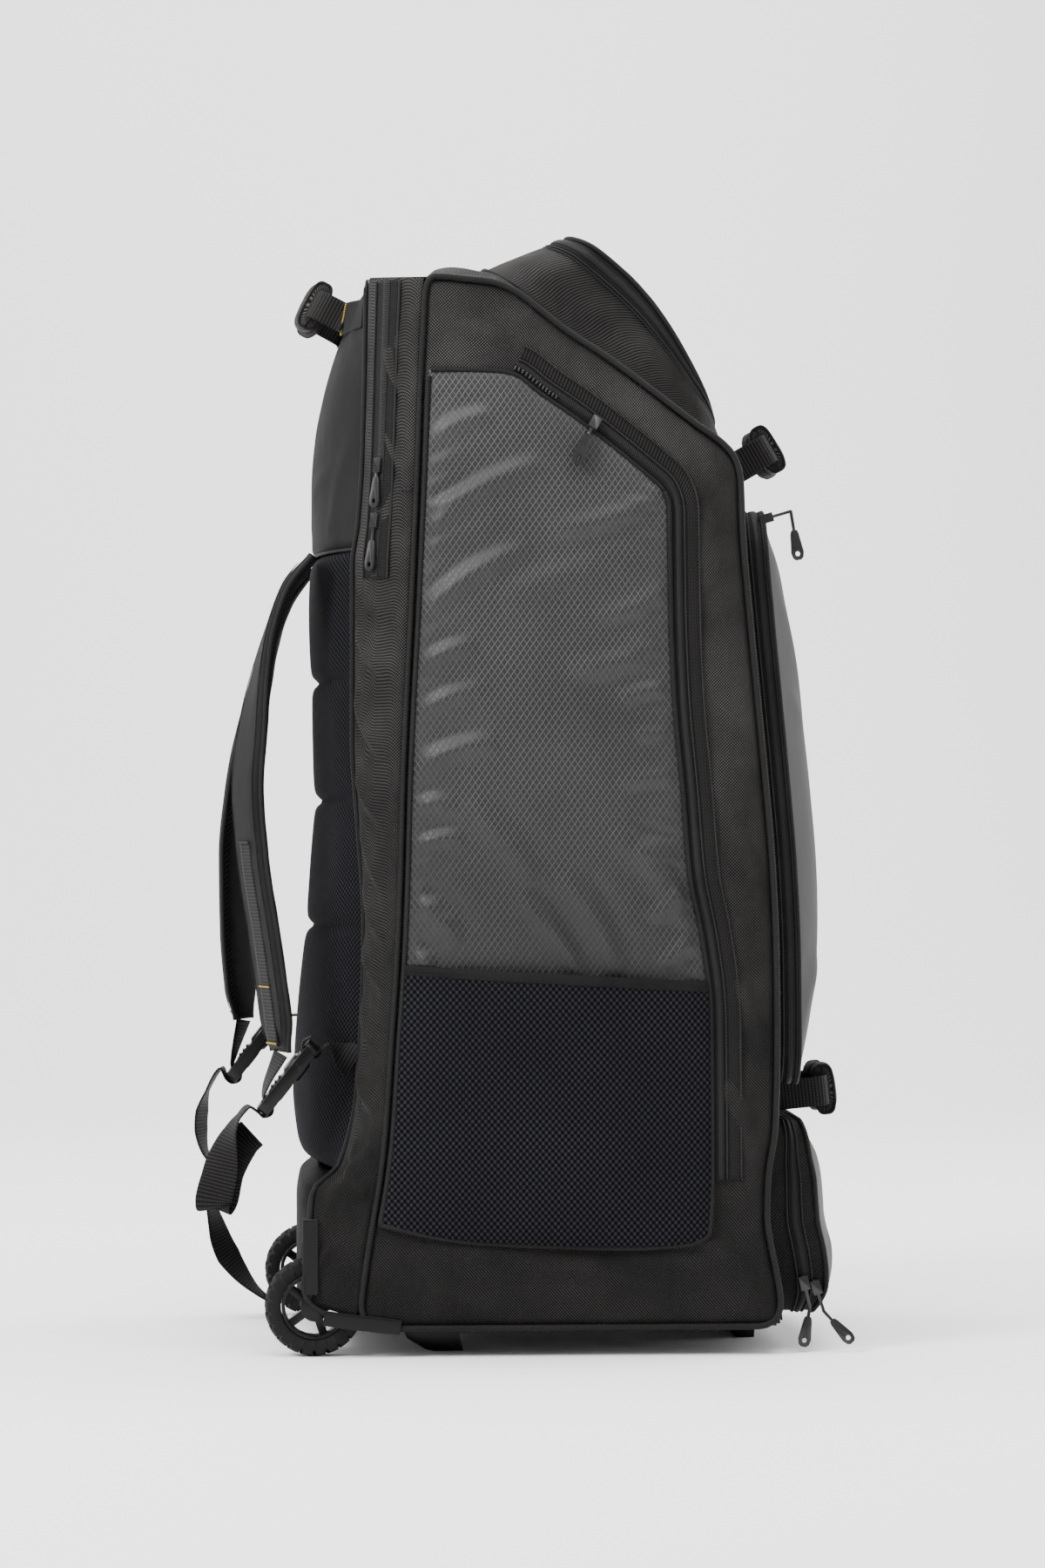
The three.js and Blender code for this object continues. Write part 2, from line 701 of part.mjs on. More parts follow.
function basePanel() {
  const reach = half_width - panel_room;
  const heel_start = back_x + heel_length / 2;
  const heel_end = rearX(base_z) + kick_plate_wall + gap;
  const rows = [heel_end, lerp(heel_end, heel_start, 0.5), heel_start, 0, frontX(base_z) - seam_room];
  const grid = gridOf(rows, steps(6, -reach, reach), (x, y) => V(x, y, heelZ(x)));
  return cut(panel(grid, panel_wall), wheelWell(RIGHT, gap), wheelWell(LEFT, gap));
}

// The gusset between the piped side seam and the seam along the back, bent out a little between them
function gussetPoint(side, z, share) {
  const from = V(seamX(z), half_width, 0);
  const to = V(rearX(z), rearY(z), 0);
  const out = clamp((half_width - to.y) / (half_width - rear_half), 0, 1);
  const bend = gusset_bend * out * 4 * share * (1 - share);
  const point = from.lerp(to, share);
  return V(point.x - bend * Math.SQRT1_2, side * (point.y + bend * Math.SQRT1_2), z);
}
function backGusset(side) {
  const rows = REAR_SEAM.map((row) => row.at);
  const grid = gridOf(rows, steps(4), (up, across) => {
    const low = heelZ(lerp(seamX(base_z), rearX(base_z), across)) + panel_wall + gap;
    const high = topZ(top_back, side * lerp(half_width, rear_half, across)) - gap * 2;
    const z = up === 1 ? high : Math.max(low, base_z + up * body_height);
    const length = Math.hypot(seamX(z) - rearX(z), half_width - rearY(z));
    return gussetPoint(side, z, lerp(gusset_room / length, 1 - rear_room / length, across));
  });
  return panel(grid, panel_wall - gap);
}

function batPocket() {
  const reach = rear_half - gap;
  const rows = BAT_SWELL.map((row) => (row.at - BAT_SWELL[0].at) / (1 - BAT_SWELL[0].at));
  const grid = gridOf(rows, steps(8, -reach, reach), (up, y) => {
    const low = pad_top + gap * 2;
    const z = lerp(low, topZ(top_back, y) - gap * 2, up);
    return V(batSurface(y, lerp(low, top_z, up)), y, z);
  });
  return panel(grid, pocket_wall);
}

function backPad() {
  const heights = [pad_bottom, ...PAD_SWELL.map((row) => base_z + row.at * body_height)];
  const grooves = PAD_GROOVES.map((at) => base_z + at * body_height);
  const marks = grooves.flatMap((z) => [z - groove_height / 2, z, z + groove_height / 2]);
  const inside = [...heights, ...marks].filter((z) => z > pad_bottom + gap && z < pad_top - gap);
  const rows = [pad_bottom + gap, ...inside.sort((a, b) => a - b), pad_top - gap];
  const grid = gridOf(rows, steps(6, -1, 1), (z, share) => {
    const y = share * (rearY(z) - gap * 2);
    return V(padSurface(y, z), y, z);
  });
  const inner = grid.map((row) => row.map((p) => V(p.x + pad_wall, p.y, p.z)));
  return solidBetween(grid, inner);
}

function kickPlate() {
  const low = heelZ(rearX(base_z)) + gap;
  const rows = steps(4, low, pad_bottom - gap);
  const grid = gridOf(rows, steps(8, -1, 1), (z, share) => {
    const reach = rearY(z) - gap * 4;
    return V(rearX(z) - kick_plate_crown * (1 - share ** 4), share * reach, z);
  });
  const inner = grid.map((row) => row.map((p) => V(p.x + kick_plate_wall, p.y, p.z)));
  return cut(solidBetween(grid, inner), wheelWell(RIGHT, gap), wheelWell(LEFT, gap));
}

// Thin plastic guards over the heel's corner, outside the side panel and the gusset
function backGuard(side) {
  const x = rearX(base_z);
  const z = heelZ(x) + gap;
  const y = half_width + gap;
  return block(x, x + guard_width, side * y, side * (y + guard_wall), z, z + guard_height);
}
function baseGuard(side) {
  const y = half_width + piping_radius + gap;
  const start = wheel_x + guard_width - 4;
  const end = start + guard_length;
  const outline = [
    [start, heelZ(start) + 1],
    [end, heelZ(end) + 1],
    [end + guard_width / 2, heelZ(end) + guard_width],
    [start + 2, heelZ(start) + guard_width],
  ];
  return plateY(outline, side * y, side * (y + guard_wall));
}

// Side pockets: a fullness that is widest along the middle, gathered into the seams
function pocketPoint(side, up, across, lift) {
  const top = read(POCKET_EDGES, "across", across, "top");
  const bottom = read(POCKET_EDGES, "across", across, "bottom");
  const straight = clamp(Math.min(up, 1 - up) / 0.12, 0, 1);
  const fall = lerp(up < 0.5 ? bottom : top, across, straight);
  const back = base_z + body_height * read(SIDE_POCKET, "up", up, "back");
  const front = base_z + body_height * read(SIDE_POCKET, "up", up, "front");
  const z = lerp(back, front, fall);
  const edge = back_x + body_depth * read(SIDE_POCKET, "up", up, "depth");
  const x = lerp(seamX(z) + seam_room + piping_radius, edge, across);
  return V(x, side * (sideY(x, z) + lift), z);
}

function fullness(up, across) {
  const round = Math.sqrt(arch(across, 2) * arch(clamp(up, 0.001, 0.999), 2));
  const height = up * body_height * (SIDE_POCKET.at(-1).back - SIDE_POCKET[0].back);
  const gather = Math.sin((2 * Math.PI * (height + across * body_depth * 0.4)) / gather_pitch);
  const fade = arch(clamp(across, 0, 1), 2) * clamp(1 - across * 1.2, 0, 1) * arch(up, 8);
  return side_pocket_crown * round + gather_depth * gather * fade * 2;
}

const pocket_rows = steps(17);
const pocket_columns = [0, 0.07, 0.2, 0.38, 0.6, 0.8, 0.94, 1];

function sidePocket(side) {
  const at = (lift) => gridOf(pocket_rows, pocket_columns, (up, across) =>
    pocketPoint(side, up, across, lift + Math.max(0, fullness(up, across))),
  );
  return solidBetween(at(gap + pocket_wall), at(gap));
}

function sidePocketZip(side) {
  const along = [
    ...steps(8).map((across) => [1, across]),
    ...steps(10, 1, 0.1).slice(1).map((up) => [up, 1]),
  ];
  const edge = along.map(([up, across]) => pocketPoint(side, up, across, gap));
  const columns = [zip_room, zip_room + side_zip_width];
  const grid = edge.map((p, i) => {
    const ahead = edge[Math.min(i + 1, edge.length - 1)].clone().sub(edge[Math.max(i - 1, 0)]);
    const out = V(-ahead.z, 0, ahead.x).normalize();
    return columns.map((reach) => {
      const q = p.clone().addScaledVector(out, reach);
      const x = Math.min(q.x, frontX(q.z) - seam_room);
      return V(x, side * (sideY(x, q.z) + gap + zip_wall), q.z);
    });
  });
  const inner = grid.map((row) => row.map((p) => V(p.x, p.y - side * zip_wall, p.z)));
  return solidBetween(grid, inner);
}

function meshPocket(side) {
  const rows = pocket_rows.filter((up) => up <= mesh_pocket_share);
  const at = (lift) => gridOf(rows, pocket_columns, (up, across) => {
    const open = up / mesh_pocket_share;
    const pouch = mesh_pouch * arch(across, 2) * Math.sqrt(open);
    const under = Math.max(0, fullness(up, across));
    return pocketPoint(side, up, across, gap * 2 + pocket_wall + under + pouch + lift);
  });
  return solidBetween(at(pocket_wall), at(0));
}

// A pocket on the front: a wall that stands off the front panel, and a full face over it
function pocketWall(width, low, high, depthAt, lift, wall, from = 0, to = 1) {
  const ring = roundedRing(width, high - low, pocket_corner);
  const columns = from === 0 && to === 1 ? [0, 1] : [from, to];
  const grid = ring.map((p) => {
    const [y, z] = [p.u * width, lerp(low, high, p.v + 0.5)];
    return columns.map((share) => V(frontSurface(y, z) + seat_gap + depthAt(z) * share, y, z));
  });
  const out = outSign(grid, V(frontSurface(0, low), 0, (low + high) / 2), true);
  return solidBetween(beside(grid, out * lift, true), beside(grid, out * (lift - wall), true), true);
}

function pocketFace(width, low, high, depthAt, crown) {
  const ring = roundedRing(width, high - low, pocket_corner);
  const ringAt = (share) => ring.map((p) => {
    const [y, z] = [p.u * width * share, lerp(low, high, p.v * share + 0.5)];
    const depth = depthAt(z) + seat_gap + gap + pocket_wall;
    return V(frontSurface(y, z) + depth + crown * (1 - share ** 2.4), y, z);
  });
  return cover(ringAt, [1, 0.9, 0.7, 0.4], pocket_wall, V(1, 0, 0));
}

// The helmet pocket on the slope: along runs down the slope, and its wall leans in towards the lid
const slope_start = V(top_back + 55, 0, edgeZ(top_back + 55));
const slope_run = V(top_front - 8, 0, edgeZ(top_front - 8)).sub(slope_start).normalize();
const slope_up = V(-slope_run.z, 0, slope_run.x);

function helmetFoot(p) {
  const along = helmet_length * (p.u + 0.5);
  const x = slope_start.x + slope_run.x * along;
  const y = p.v * helmet_width;
  return V(x, y, topZ(x, y) + seat_gap + pocket_wall + gap * 2);
}
function helmetEdge(p, share = 1) {
  const length = helmet_length - helmet_back_lean - helmet_front_lean;
  const place = p.u * share + 0.5;
  const along = helmet_back_lean + length * place;
  const y = p.v * share * (helmet_width - helmet_side_lean * 2);
  const rise = helmet_height * read(HELMET_EDGE, "along", place, "rise");
  const point = slope_start.clone().addScaledVector(slope_run, along).addScaledVector(slope_up, rise);
  return point.addScaledVector(slope_up, helmet_crown * (1 - share ** 2.4)).add(V(0, y, 0));
}
const helmet_ring = () => roundedRing(helmet_length, helmet_width, pocket_corner, 60);

function helmetWall(from, to, lift, wall) {
  const grid = helmet_ring().map((p) => {
    const foot = helmetFoot(p);
    const edge = helmetEdge(p).addScaledVector(slope_up, -gap);
    return steps(to - from < 0.5 ? 1 : 2, from, to).map((share) => foot.clone().lerp(edge, share));
  });
  const centre = helmetEdge({ u: 0, v: 0 }, 0).addScaledVector(slope_up, -helmet_height / 2);
  const out = outSign(grid, centre, true);
  return solidBetween(beside(grid, out * lift, true), beside(grid, out * (lift - wall), true), true);
}

// Shoulder straps, their webbing and their buckles
function strapPoints(side) {
  const rows = STRAP_LINE[side === RIGHT ? "right" : "left"];
  const y = (side * strap_spacing) / 2;
  const start = padSurface(y, strap_top) - strap_stand;
  const flare = (down) => side * strap_flare * THREE.MathUtils.smoothstep(down, 0.3, 1);
  const at = (row) => V(start - row.out * strap_drop, y + flare(row.down), strap_top - row.down * strap_drop);
  return rows.map(at);
}
function shoulderStrap(side) {
  const path = new THREE.CatmullRomCurve3(strapPoints(side), false, "centripetal");
  const points = path.getSpacedPoints(strap_steps);
  const tilt = (i) => degToRad(strap_tilt) * clamp((i - 2) / 6, 0, 1);
  const across = points.map((_, i) => V(side * -Math.sin(tilt(i)), Math.cos(tilt(i)), 0));
  const grid = (lift) => beside(
    points.map((p, i) => [-0.5, -0.42, 0.42, 0.5].map((share) =>
      p.clone().addScaledVector(across[i], share * strap_width * (i === 0 || i === strap_steps ? 0.86 : 1)),
    )),
    lift,
  );
  const round = (lift) => grid(lift).map((row, i) => {
    const flat = grid(lift * 0.45)[i];
    return [flat[0], row[1], row[2], flat[3]];
  });
  return solidBetween(round(strap_thickness / 2), round(-strap_thickness / 2));
}

const buckle_run = V(-Math.cos(degToRad(buckle_angle)), 0, -Math.sin(degToRad(buckle_angle)));
const buckle_out = V(-Math.sin(degToRad(buckle_angle)), 0, Math.cos(degToRad(buckle_angle)));
const slot_place = buckle_length / 2 - buckle_bar - buckle_slot / 2;
const keyOf = (side) => (side === RIGHT ? "right" : "left");
function buckleAt(side) {
  const foot = strapPoints(side).at(-1);
  const { x, z } = BUCKLE_AT[keyOf(side)];
  return V(foot.x + x * buckle_length, (side * buckle_spacing) / 2, foot.z + z * buckle_length);
}
const onBuckle = (side, along, out) =>
  buckleAt(side).addScaledVector(buckle_run, along).addScaledVector(buckle_out, out);

function buckle(side) {
  const outline = new THREE.Shape(
    roundedRing(buckle_length, buckle_width, 9).map((p) => {
      const waist = 1 - 0.2 * (1 - Math.abs(2 * p.u)) ** 2;
      return new THREE.Vector2(p.u * buckle_length, p.v * buckle_width * waist);
    }),
  );
  const slots = [slot_place, -slot_place].map((place) => {
    const [u, v] = [buckle_slot / 2, harness_web / 2 + 2];
    return block(place - u, place + u, -v, v, -buckle_thickness, buckle_thickness);
  });
  const plate = new THREE.ExtrudeGeometry(outline, { depth: buckle_thickness, bevelEnabled: false });
  const made = cut(plate.translate(0, 0, -buckle_thickness / 2), ...slots);
  const turn = new THREE.Matrix4().makeBasis(buckle_run, V(0, 1, 0), buckle_run.clone().cross(V(0, 1, 0)));
  return made.applyMatrix4(turn.setPosition(buckleAt(side)));
}

// From the foot of the strap through the buckle's lower slot, round its end bar and down as the loose tail
function strapTail(side) {
  const rows = STRAP_TAIL[keyOf(side)];
  const strapEnd = strapPoints(side).at(-1).add(V(0, 0, -gap * 4));
  strapEnd.y = buckleAt(side).y;
  const half = buckle_thickness / 2;
  const slot = slot_place;
  const round = [
    strapEnd,
    onBuckle(side, slot - 9, half + 5),
    onBuckle(side, slot - 0.5, half),
    onBuckle(side, slot, -half),
    onBuckle(side, slot + buckle_bar * 0.8, -half - 4.4),
    onBuckle(side, slot + buckle_bar * 1.6 + 4, -half + 1),
    onBuckle(side, slot + buckle_bar * 1.6 + 5, half - 1),
  ];
  const eye = onBuckle(side, slot, 0);
  const hang = TAIL_HANG[keyOf(side)];
  const loose = rows.map((row) => eye.clone().add(V(row.x, side * -row.y, row.z).multiplyScalar(hang)));
  const twists = [...round.map(() => 0), ...rows.map((row) => degToRad(row.twist))];
  const across = twists.map((twist) => V(side * Math.sin(twist), Math.cos(twist), 0));
  return ribbon([...round, ...loose], across, harness_web - 2, web_thickness);
}

// From the seam beside the pad to the buckle's upper slot: the webbing lies along the seam, then turns flat
function strapWeb(side) {
  const half = buckle_thickness / 2;
  const z = buckleAt(side).z + web_root_rise;
  const root = V(rearX(z) - 2.5, side * (rear_half + 1.5), z);
  const near = onBuckle(side, -slot_place - 16, -half - 3.4);
  const rows = [
    { point: root, twist: 90 },
    { point: root.clone().lerp(near, 0.45), twist: 55 },
    { point: near, twist: 0 },
    { point: onBuckle(side, -slot_place - 1, -half - 2.6), twist: 0 },
    { point: onBuckle(side, -slot_place, half), twist: 0 },
    { point: onBuckle(side, -slot_place - 5, half + 3.4), twist: 0 },
    { point: onBuckle(side, -slot_place - 13, half + 0.6), twist: 0 },
  ];
  const across = rows.map(({ twist }) => V(0, Math.cos(degToRad(twist)), -side * Math.sin(degToRad(twist))));
  return ribbon(rows.map((row) => row.point), across, harness_web - 2, web_thickness);
}

// A grab handle: webbing sewn down at both ends, and a padded sleeve round its grip
function handleFrame(handle) {
  const level = { top: top_z, shoulder: shoulder_z, pockets: (front_pocket_low + shoe_pocket_high) / 2 };
  const z = level[handle.from] + handle.rise;
  const out = V(Math.cos(degToRad(handle.lean)), 0, Math.sin(degToRad(handle.lean)));
  const up = V(-out.z, 0, out.x);
  const y = handle_span / 2;
  const x = {
    back: () => batSurface(y, z),
    front: () => frontSurface(y, z),
    shoulder: () => top_front,
  }[handle.face]();
  return { origin: V(x, 0, z).addScaledVector(out, handle.lift), out, up };
}
function handleWeb(handle) {
  const { origin, out, up } = handleFrame(handle);
  const half = handle_span / 2;
  const turn = 10;
  const run = [
    [-half - handle_tab, 0],
    [-half - 2, 0.4],
    [-half + 1.5, 3],
    [-half + 4, handle.reach - turn],
    [-half + 8, handle.reach - 3],
    [-half + turn + 6, handle.reach],
  ];
  const path = [...run, ...run.slice().reverse().map(([y, reach]) => [-y, reach])];
  const points = path.map(([y, reach]) => origin.clone().addScaledVector(out, reach).add(V(0, y, 0)));
  return ribbon(points, points.map(() => up), handle_web, web_thickness);
}
function handleSleeve(handle) {
  const { origin, out, up } = handleFrame(handle);
  const middle = origin.clone().addScaledVector(out, handle.reach);
  const loop = (height, depth, corner) => roundedRing(height, depth, corner).map((p) =>
    [-0.5, 0.5].map((share) => {
      return middle.clone()
        .addScaledVector(up, p.u * height)
        .addScaledVector(out, p.v * depth)
        .add(V(0, share * sleeve_length, 0));
    }),
  );
  const hole = web_thickness + gap * 4;
  const inner = loop(handle_web + gap * 2, hole, hole / 2.2);
  const outer = loop(sleeve_height, hole + sleeve_wall * 2, sleeve_wall);
  return { outer, inner };
}

// Wheels
const wheelPlace = (side) => V(wheel_x, (side * wheel_track) / 2, wheel_diameter / 2);

function tyre() {
  const r = wheel_diameter / 2;
  const w = tyre_width / 2;
  const inner = rim_diameter / 2 + gap;
  const rows = steps(lug_count * 4).slice(0, -1).map((_, i) => {
    const lug = Math.floor(i / 4);
    const place = [0, 0.56, 0.62, 0.94][i % 4];
    return { turn: (2 * Math.PI * (lug + place)) / lug_count, dip: i % 4 < 2 ? 0 : tread_depth };
  });
  const profile = [
    [-w + 3, inner, 0],
    [-w, r - 6, 0.3],
    [-w + 3, r, 1],
    [w - 3, r, 1],
    [w, r - 6, 0.3],
    [w - 3, inner, 0],
  ];
  const points = rows.flatMap(({ turn, dip }) =>
    profile.map(([y, radius, deep]) => {
      const reach = radius - dip * deep;
      return V(reach * Math.cos(turn), y, reach * Math.sin(turn));
    }),
  );
  const index = [];
  const n = profile.length;
  rows.forEach((_, i) => {
    for (let j = 0; j < n; j++) {
      const [a, b] = [i * n + j, i * n + ((j + 1) % n)];
      const next = (k) => (k + n) % (rows.length * n);
      index.push(a, b, next(b), a, next(b), next(a));
    }
  });
  return geometryOf(points, index);
}

function rim() {
  const r = rim_diameter / 2;
  const w = rim_width / 2;
  const bore = axle_radius + axle_clearance;
  const profile = (points) => points.map(([x, y]) => new THREE.Vector2(x, y));
  const ring = new THREE.LatheGeometry(
    profile([[r - rim_wall, -w], [r, -w], [r, w], [r - rim_wall, w], [r - rim_wall, -w]]),
    24,
  );
  const hub = new THREE.LatheGeometry(
    profile([[bore, -w], [hub_radius - 2, -w], [hub_radius, 0], [hub_radius - 2, w], [bore, w], [bore, -w]]),
    12,
  );
  const spokes = steps(spoke_count).slice(0, -1).map((share) => {
    const length = r - rim_wall / 2 - hub_radius + 3;
    const spoke = new THREE.BoxGeometry(length, rim_width * 0.6, spoke_width);
    return spoke.translate(hub_radius - 3 + length / 2, 0, 0).rotateY(share * 2 * Math.PI);
  });
  return fuse(facing(ring), facing(hub), ...spokes);
}

// A lathe's profile may come out inside out, so its volume's sign is set right
function facing(geometry) {
  const bare = geometry.clone();
  bare.deleteAttribute("normal");
  bare.deleteAttribute("uv");
  return facingOut(mergeVertices(bare, 1e-4));
}

// The moulded housing: an arch over the wheel, a cheek on either side, and the pin that the wheel turns on
function wheelHousing(side) {
  const inner = wheel_track / 2 - tyre_width / 2 - side_clearance - housing_wall;
  const outer = wheel_track / 2 + tyre_width / 2 + side_clearance + housing_wall;
  const front = wheel_x + housing_front;
  const back = rearX(base_z) + 1;
  const top = wheel_diameter + arch_clearance + housing_wall;
  const outline = [
    [back, heelZ(back)],
    [front, heelZ(front)],
    [front, top],
    [back, top],
  ];
  const z = wheel_diameter / 2;
  const shell = fuse(
    plateY(outline, side * inner, side * outer),
    rodY(hub_radius + 1, side * inner, side * outer, wheel_x, z, 20),
  );
  const space = rodY(
    wheel_diameter / 2 + arch_clearance,
    side * (inner + housing_wall),
    side * (outer - housing_wall),
    wheel_x,
    z,
    28,
  );
  return fuse(cut(shell, space), rodY(axle_radius, side * (inner + 1), side * (outer - 1), wheel_x, z, 12));
}

// Feet
function skid(side) {
  const y = (side * skid_spacing) / 2;
  const top = base_z - gap;
  const outline = [
    [skid_x - skid_length / 2, top],
    [skid_x - skid_length / 2 + 6, top * 0.45],
    [skid_x - skid_length / 2 + 22, 1.5],
    [skid_x - skid_length / 2 + 30, 0],
    [skid_x + skid_length / 2, 0],
    [skid_x + skid_length / 2 - 5, top],
  ];
  return plateY(outline, y - skid_width / 2, y + skid_width / 2);
}
function frontFoot() {
  const top = base_z - gap;
  const half = foot_length / 2;
  const outline = [
    [foot_x - half - 4, top],
    [foot_x - half + 3, 0],
    [foot_x + half - 3, 0],
    [foot_x + half - 1, top],
  ];
  return plateY(outline, -foot_width / 2, foot_width / 2);
}

// A zip pull: its slider lies on the zip at the route's start, a cord runs along the route, a tab ends it
function barAlong(from, to, facing, width, thickness, overrun = 0) {
  const run = to.clone().sub(from);
  const length = run.length() + overrun * 2;
  const u = run.normalize();
  const w = facing.clone().cross(u).normalize();
  const turn = new THREE.Matrix4().makeBasis(u, w, u.clone().cross(w));
  const middle = from.clone().add(to).multiplyScalar(0.5);
  return { matrix: turn.setPosition(middle), geometry: new THREE.BoxGeometry(length, width, thickness) };
}
const TAB_SIDE = [
  { along: -1, across: 0.45 },
  { along: -0.75, across: 0.65 },
  { along: 0.5, across: 1 },
  { along: 0.85, across: 0.8 },
  { along: 1, across: 0.4 },
];
function zipPull({ route, facing }) {
  const slider_end = route[0].clone().lerp(route[1], slider_length / route[0].distanceTo(route[1]));
  const slider = barAlong(route[0], slider_end, facing, slider_width, slider_height);
  const cordTo = (to, i) => barAlong(route[i], to, facing, pull_cord, pull_cord, pull_cord / 4);
  const cords = route.slice(1).map(cordTo);
  const [before, end] = route.slice(-2);
  const tab = barAlong(before, end, facing, pull_width, pull_thickness);
  const half = pull_width / 2;
  const shape = new THREE.Shape(
    [...TAB_SIDE, ...TAB_SIDE.slice().reverse().map((row) => ({ ...row, across: -row.across }))].map(
      (row) => new THREE.Vector2((row.along * pull_length) / 2, row.across * half),
    ),
  );
  const eye = new THREE.Path();
  eye.absarc(pull_length / 2 - half, 0, pull_eye, 0, 2 * Math.PI);
  shape.holes = [eye];
  const options = { depth: pull_thickness, bevelEnabled: false, curveSegments: 4 };
  const plate = new THREE.ExtrudeGeometry(shape, options).translate(0, 0, -pull_thickness / 2);
  const hang = before.distanceTo(end) / 2;
  plate.translate(hang - pull_length / 2, 0, 0);
  return fuse(
    plate.applyMatrix4(tab.matrix),
    slider.geometry.applyMatrix4(slider.matrix),
    ...cords.map((cord, i) => {
      const span = route[i].distanceTo(route[i + 1]);
      const shorten = i === cords.length - 1 ? 1 - (pull_length * 0.8) / span : 1;
      const length = cord.geometry.parameters.width;
      cord.geometry.scale(shorten, 1, 1).translate((-length * (1 - shorten)) / 2, 0, 0);
      return cord.geometry.applyMatrix4(cord.matrix);
    }),
  );
}

// Assembly
for (const [side, name] of [[RIGHT, "right"], [LEFT, "left"]]) {
  add(`side_panel_${name}`, sidePanel(side), ballistic_nylon);
  add(`side_piping_${name}`, sidePiping(side), piping_cord);
  add(`back_gusset_${name}`, backGusset(side), ballistic_nylon);
  add(`back_guard_${name}`, backGuard(side), moulded_plastic);
  add(`base_guard_${name}`, baseGuard(side), moulded_plastic);
  add(`side_pocket_${name}`, sidePocket(side), ripstop_nylon);
  add(`side_pocket_zip_${name}`, sidePocketZip(side), zip_tape);
  add(`mesh_pocket_${name}`, meshPocket(side), air_mesh);
  add(`shoulder_strap_${name}`, shoulderStrap(side), smooth_nylon);
  add(`strap_buckle_${name}`, buckle(side), moulded_plastic);
  add(`strap_tail_${name}`, strapTail(side), webbing);
  add(`strap_web_${name}`, strapWeb(side), webbing);
  add(`wheel_housing_${name}`, wheelHousing(side), moulded_plastic);
  const wheel = new THREE.Group();
  wheel.position.copy(wheelPlace(side));
  add(`wheel_tyre_${name}`, tyre(), tyre_rubber, wheel);
  add(`wheel_rim_${name}`, rim(), moulded_plastic, wheel);
  bag.add(wheel);
  add(`skid_${name}`, skid(side), moulded_plastic);
}
add("top_panel", topPanel(), ballistic_nylon);
add("front_panel", frontPanel(), ballistic_nylon);
add("base_panel", basePanel(), moulded_plastic);
add("bat_pocket", batPocket(), smooth_nylon);
add("back_pad", backPad(), air_mesh);
add("kick_plate", kickPlate(), moulded_plastic);
add("front_foot", frontFoot(), moulded_plastic);

const frontDepth = () => front_pocket_depth;
const shoeDepth = (z) =>
  shoe_pocket_depth * read(SHOE_DEPTH, "at", (z - shoe_pocket_low) / (shoe_pocket_high - shoe_pocket_low), "deep");
const front_size = [front_pocket_width, front_pocket_low, front_pocket_high];
const shoe_zip_span = [0.45, 0.7];
const shoe_zip_middle = (shoe_zip_span[0] + shoe_zip_span[1]) / 2;
const shoe_slider_z = shoe_pocket_low + pocket_corner * 0.8;
const shoe_size = [shoe_pocket_width, shoe_pocket_low, shoe_pocket_high];
add("front_pocket_wall", pocketWall(...front_size, frontDepth, 0, pocket_wall), ballistic_nylon);
add("front_pocket_zip", pocketWall(...front_size, frontDepth, gap + zip_wall, zip_wall, 0.4, 0.9), zip_tape);
add("front_pocket_face", pocketFace(...front_size, frontDepth, front_pocket_crown), coated_cloth);
add("shoe_pocket_wall", pocketWall(...shoe_size, shoeDepth, 0, pocket_wall), ballistic_nylon);
add("shoe_pocket_zip", pocketWall(...shoe_size, shoeDepth, gap + zip_wall, zip_wall, ...shoe_zip_span), zip_tape);
add("shoe_pocket_face", pocketFace(...shoe_size, shoeDepth, shoe_pocket_crown), coated_cloth);

add("helmet_pocket_wall", helmetWall(0, 1, 0, pocket_wall), ballistic_nylon);
add("helmet_pocket_zip", helmetWall(0.8, 0.95, seat_gap + zip_wall, zip_wall), zip_tape);
add("helmet_pocket_lid", cover(
  (share) => helmet_ring().map((p) => helmetEdge(p, share).addScaledVector(slope_up, gap + pocket_wall)),
  [1, 0.9, 0.7, 0.4],
  pocket_wall,
  slope_up,
), coated_cloth);

for (const [name, handle] of Object.entries(HANDLES)) {
  add(`${name}_web`, handleWeb(handle), webbing);
  const { outer, inner } = handleSleeve(handle);
  add(`${name}_sleeve`, solidBetween(outer, inner, true), ballistic_nylon);
}

// Where each pull's slider, bends and end lie
const slider_room = slider_height / 2 + gap;
const corner_out = V(-Math.SQRT1_2, -Math.SQRT1_2, 0);
const onGusset = (up, lift) =>
  gussetPoint(RIGHT, base_z + up * body_height, 0.55).addScaledVector(corner_out, lift);
function onZip(forward, down, lift) {
  const edge = pocketPoint(RIGHT, 1, 0.6, 0);
  const [x, z] = [edge.x + forward, edge.z + zip_room + side_zip_width / 2 - down];
  return V(x, -sideY(x, z) - gap - zip_wall - lift, z);
}
const front_side = front_pocket_width / 2 + zip_wall + slider_room + gap;
const front_slider_z = front_pocket_high - pocket_corner;
const front_slider_x = frontX(front_slider_z) + front_pocket_depth / 2;
const shoe_side = shoe_pocket_width / 2 + slider_room + gap;
const onShoeZip = (z) => frontX(z) + seat_gap + shoeDepth(z) * shoe_zip_middle;
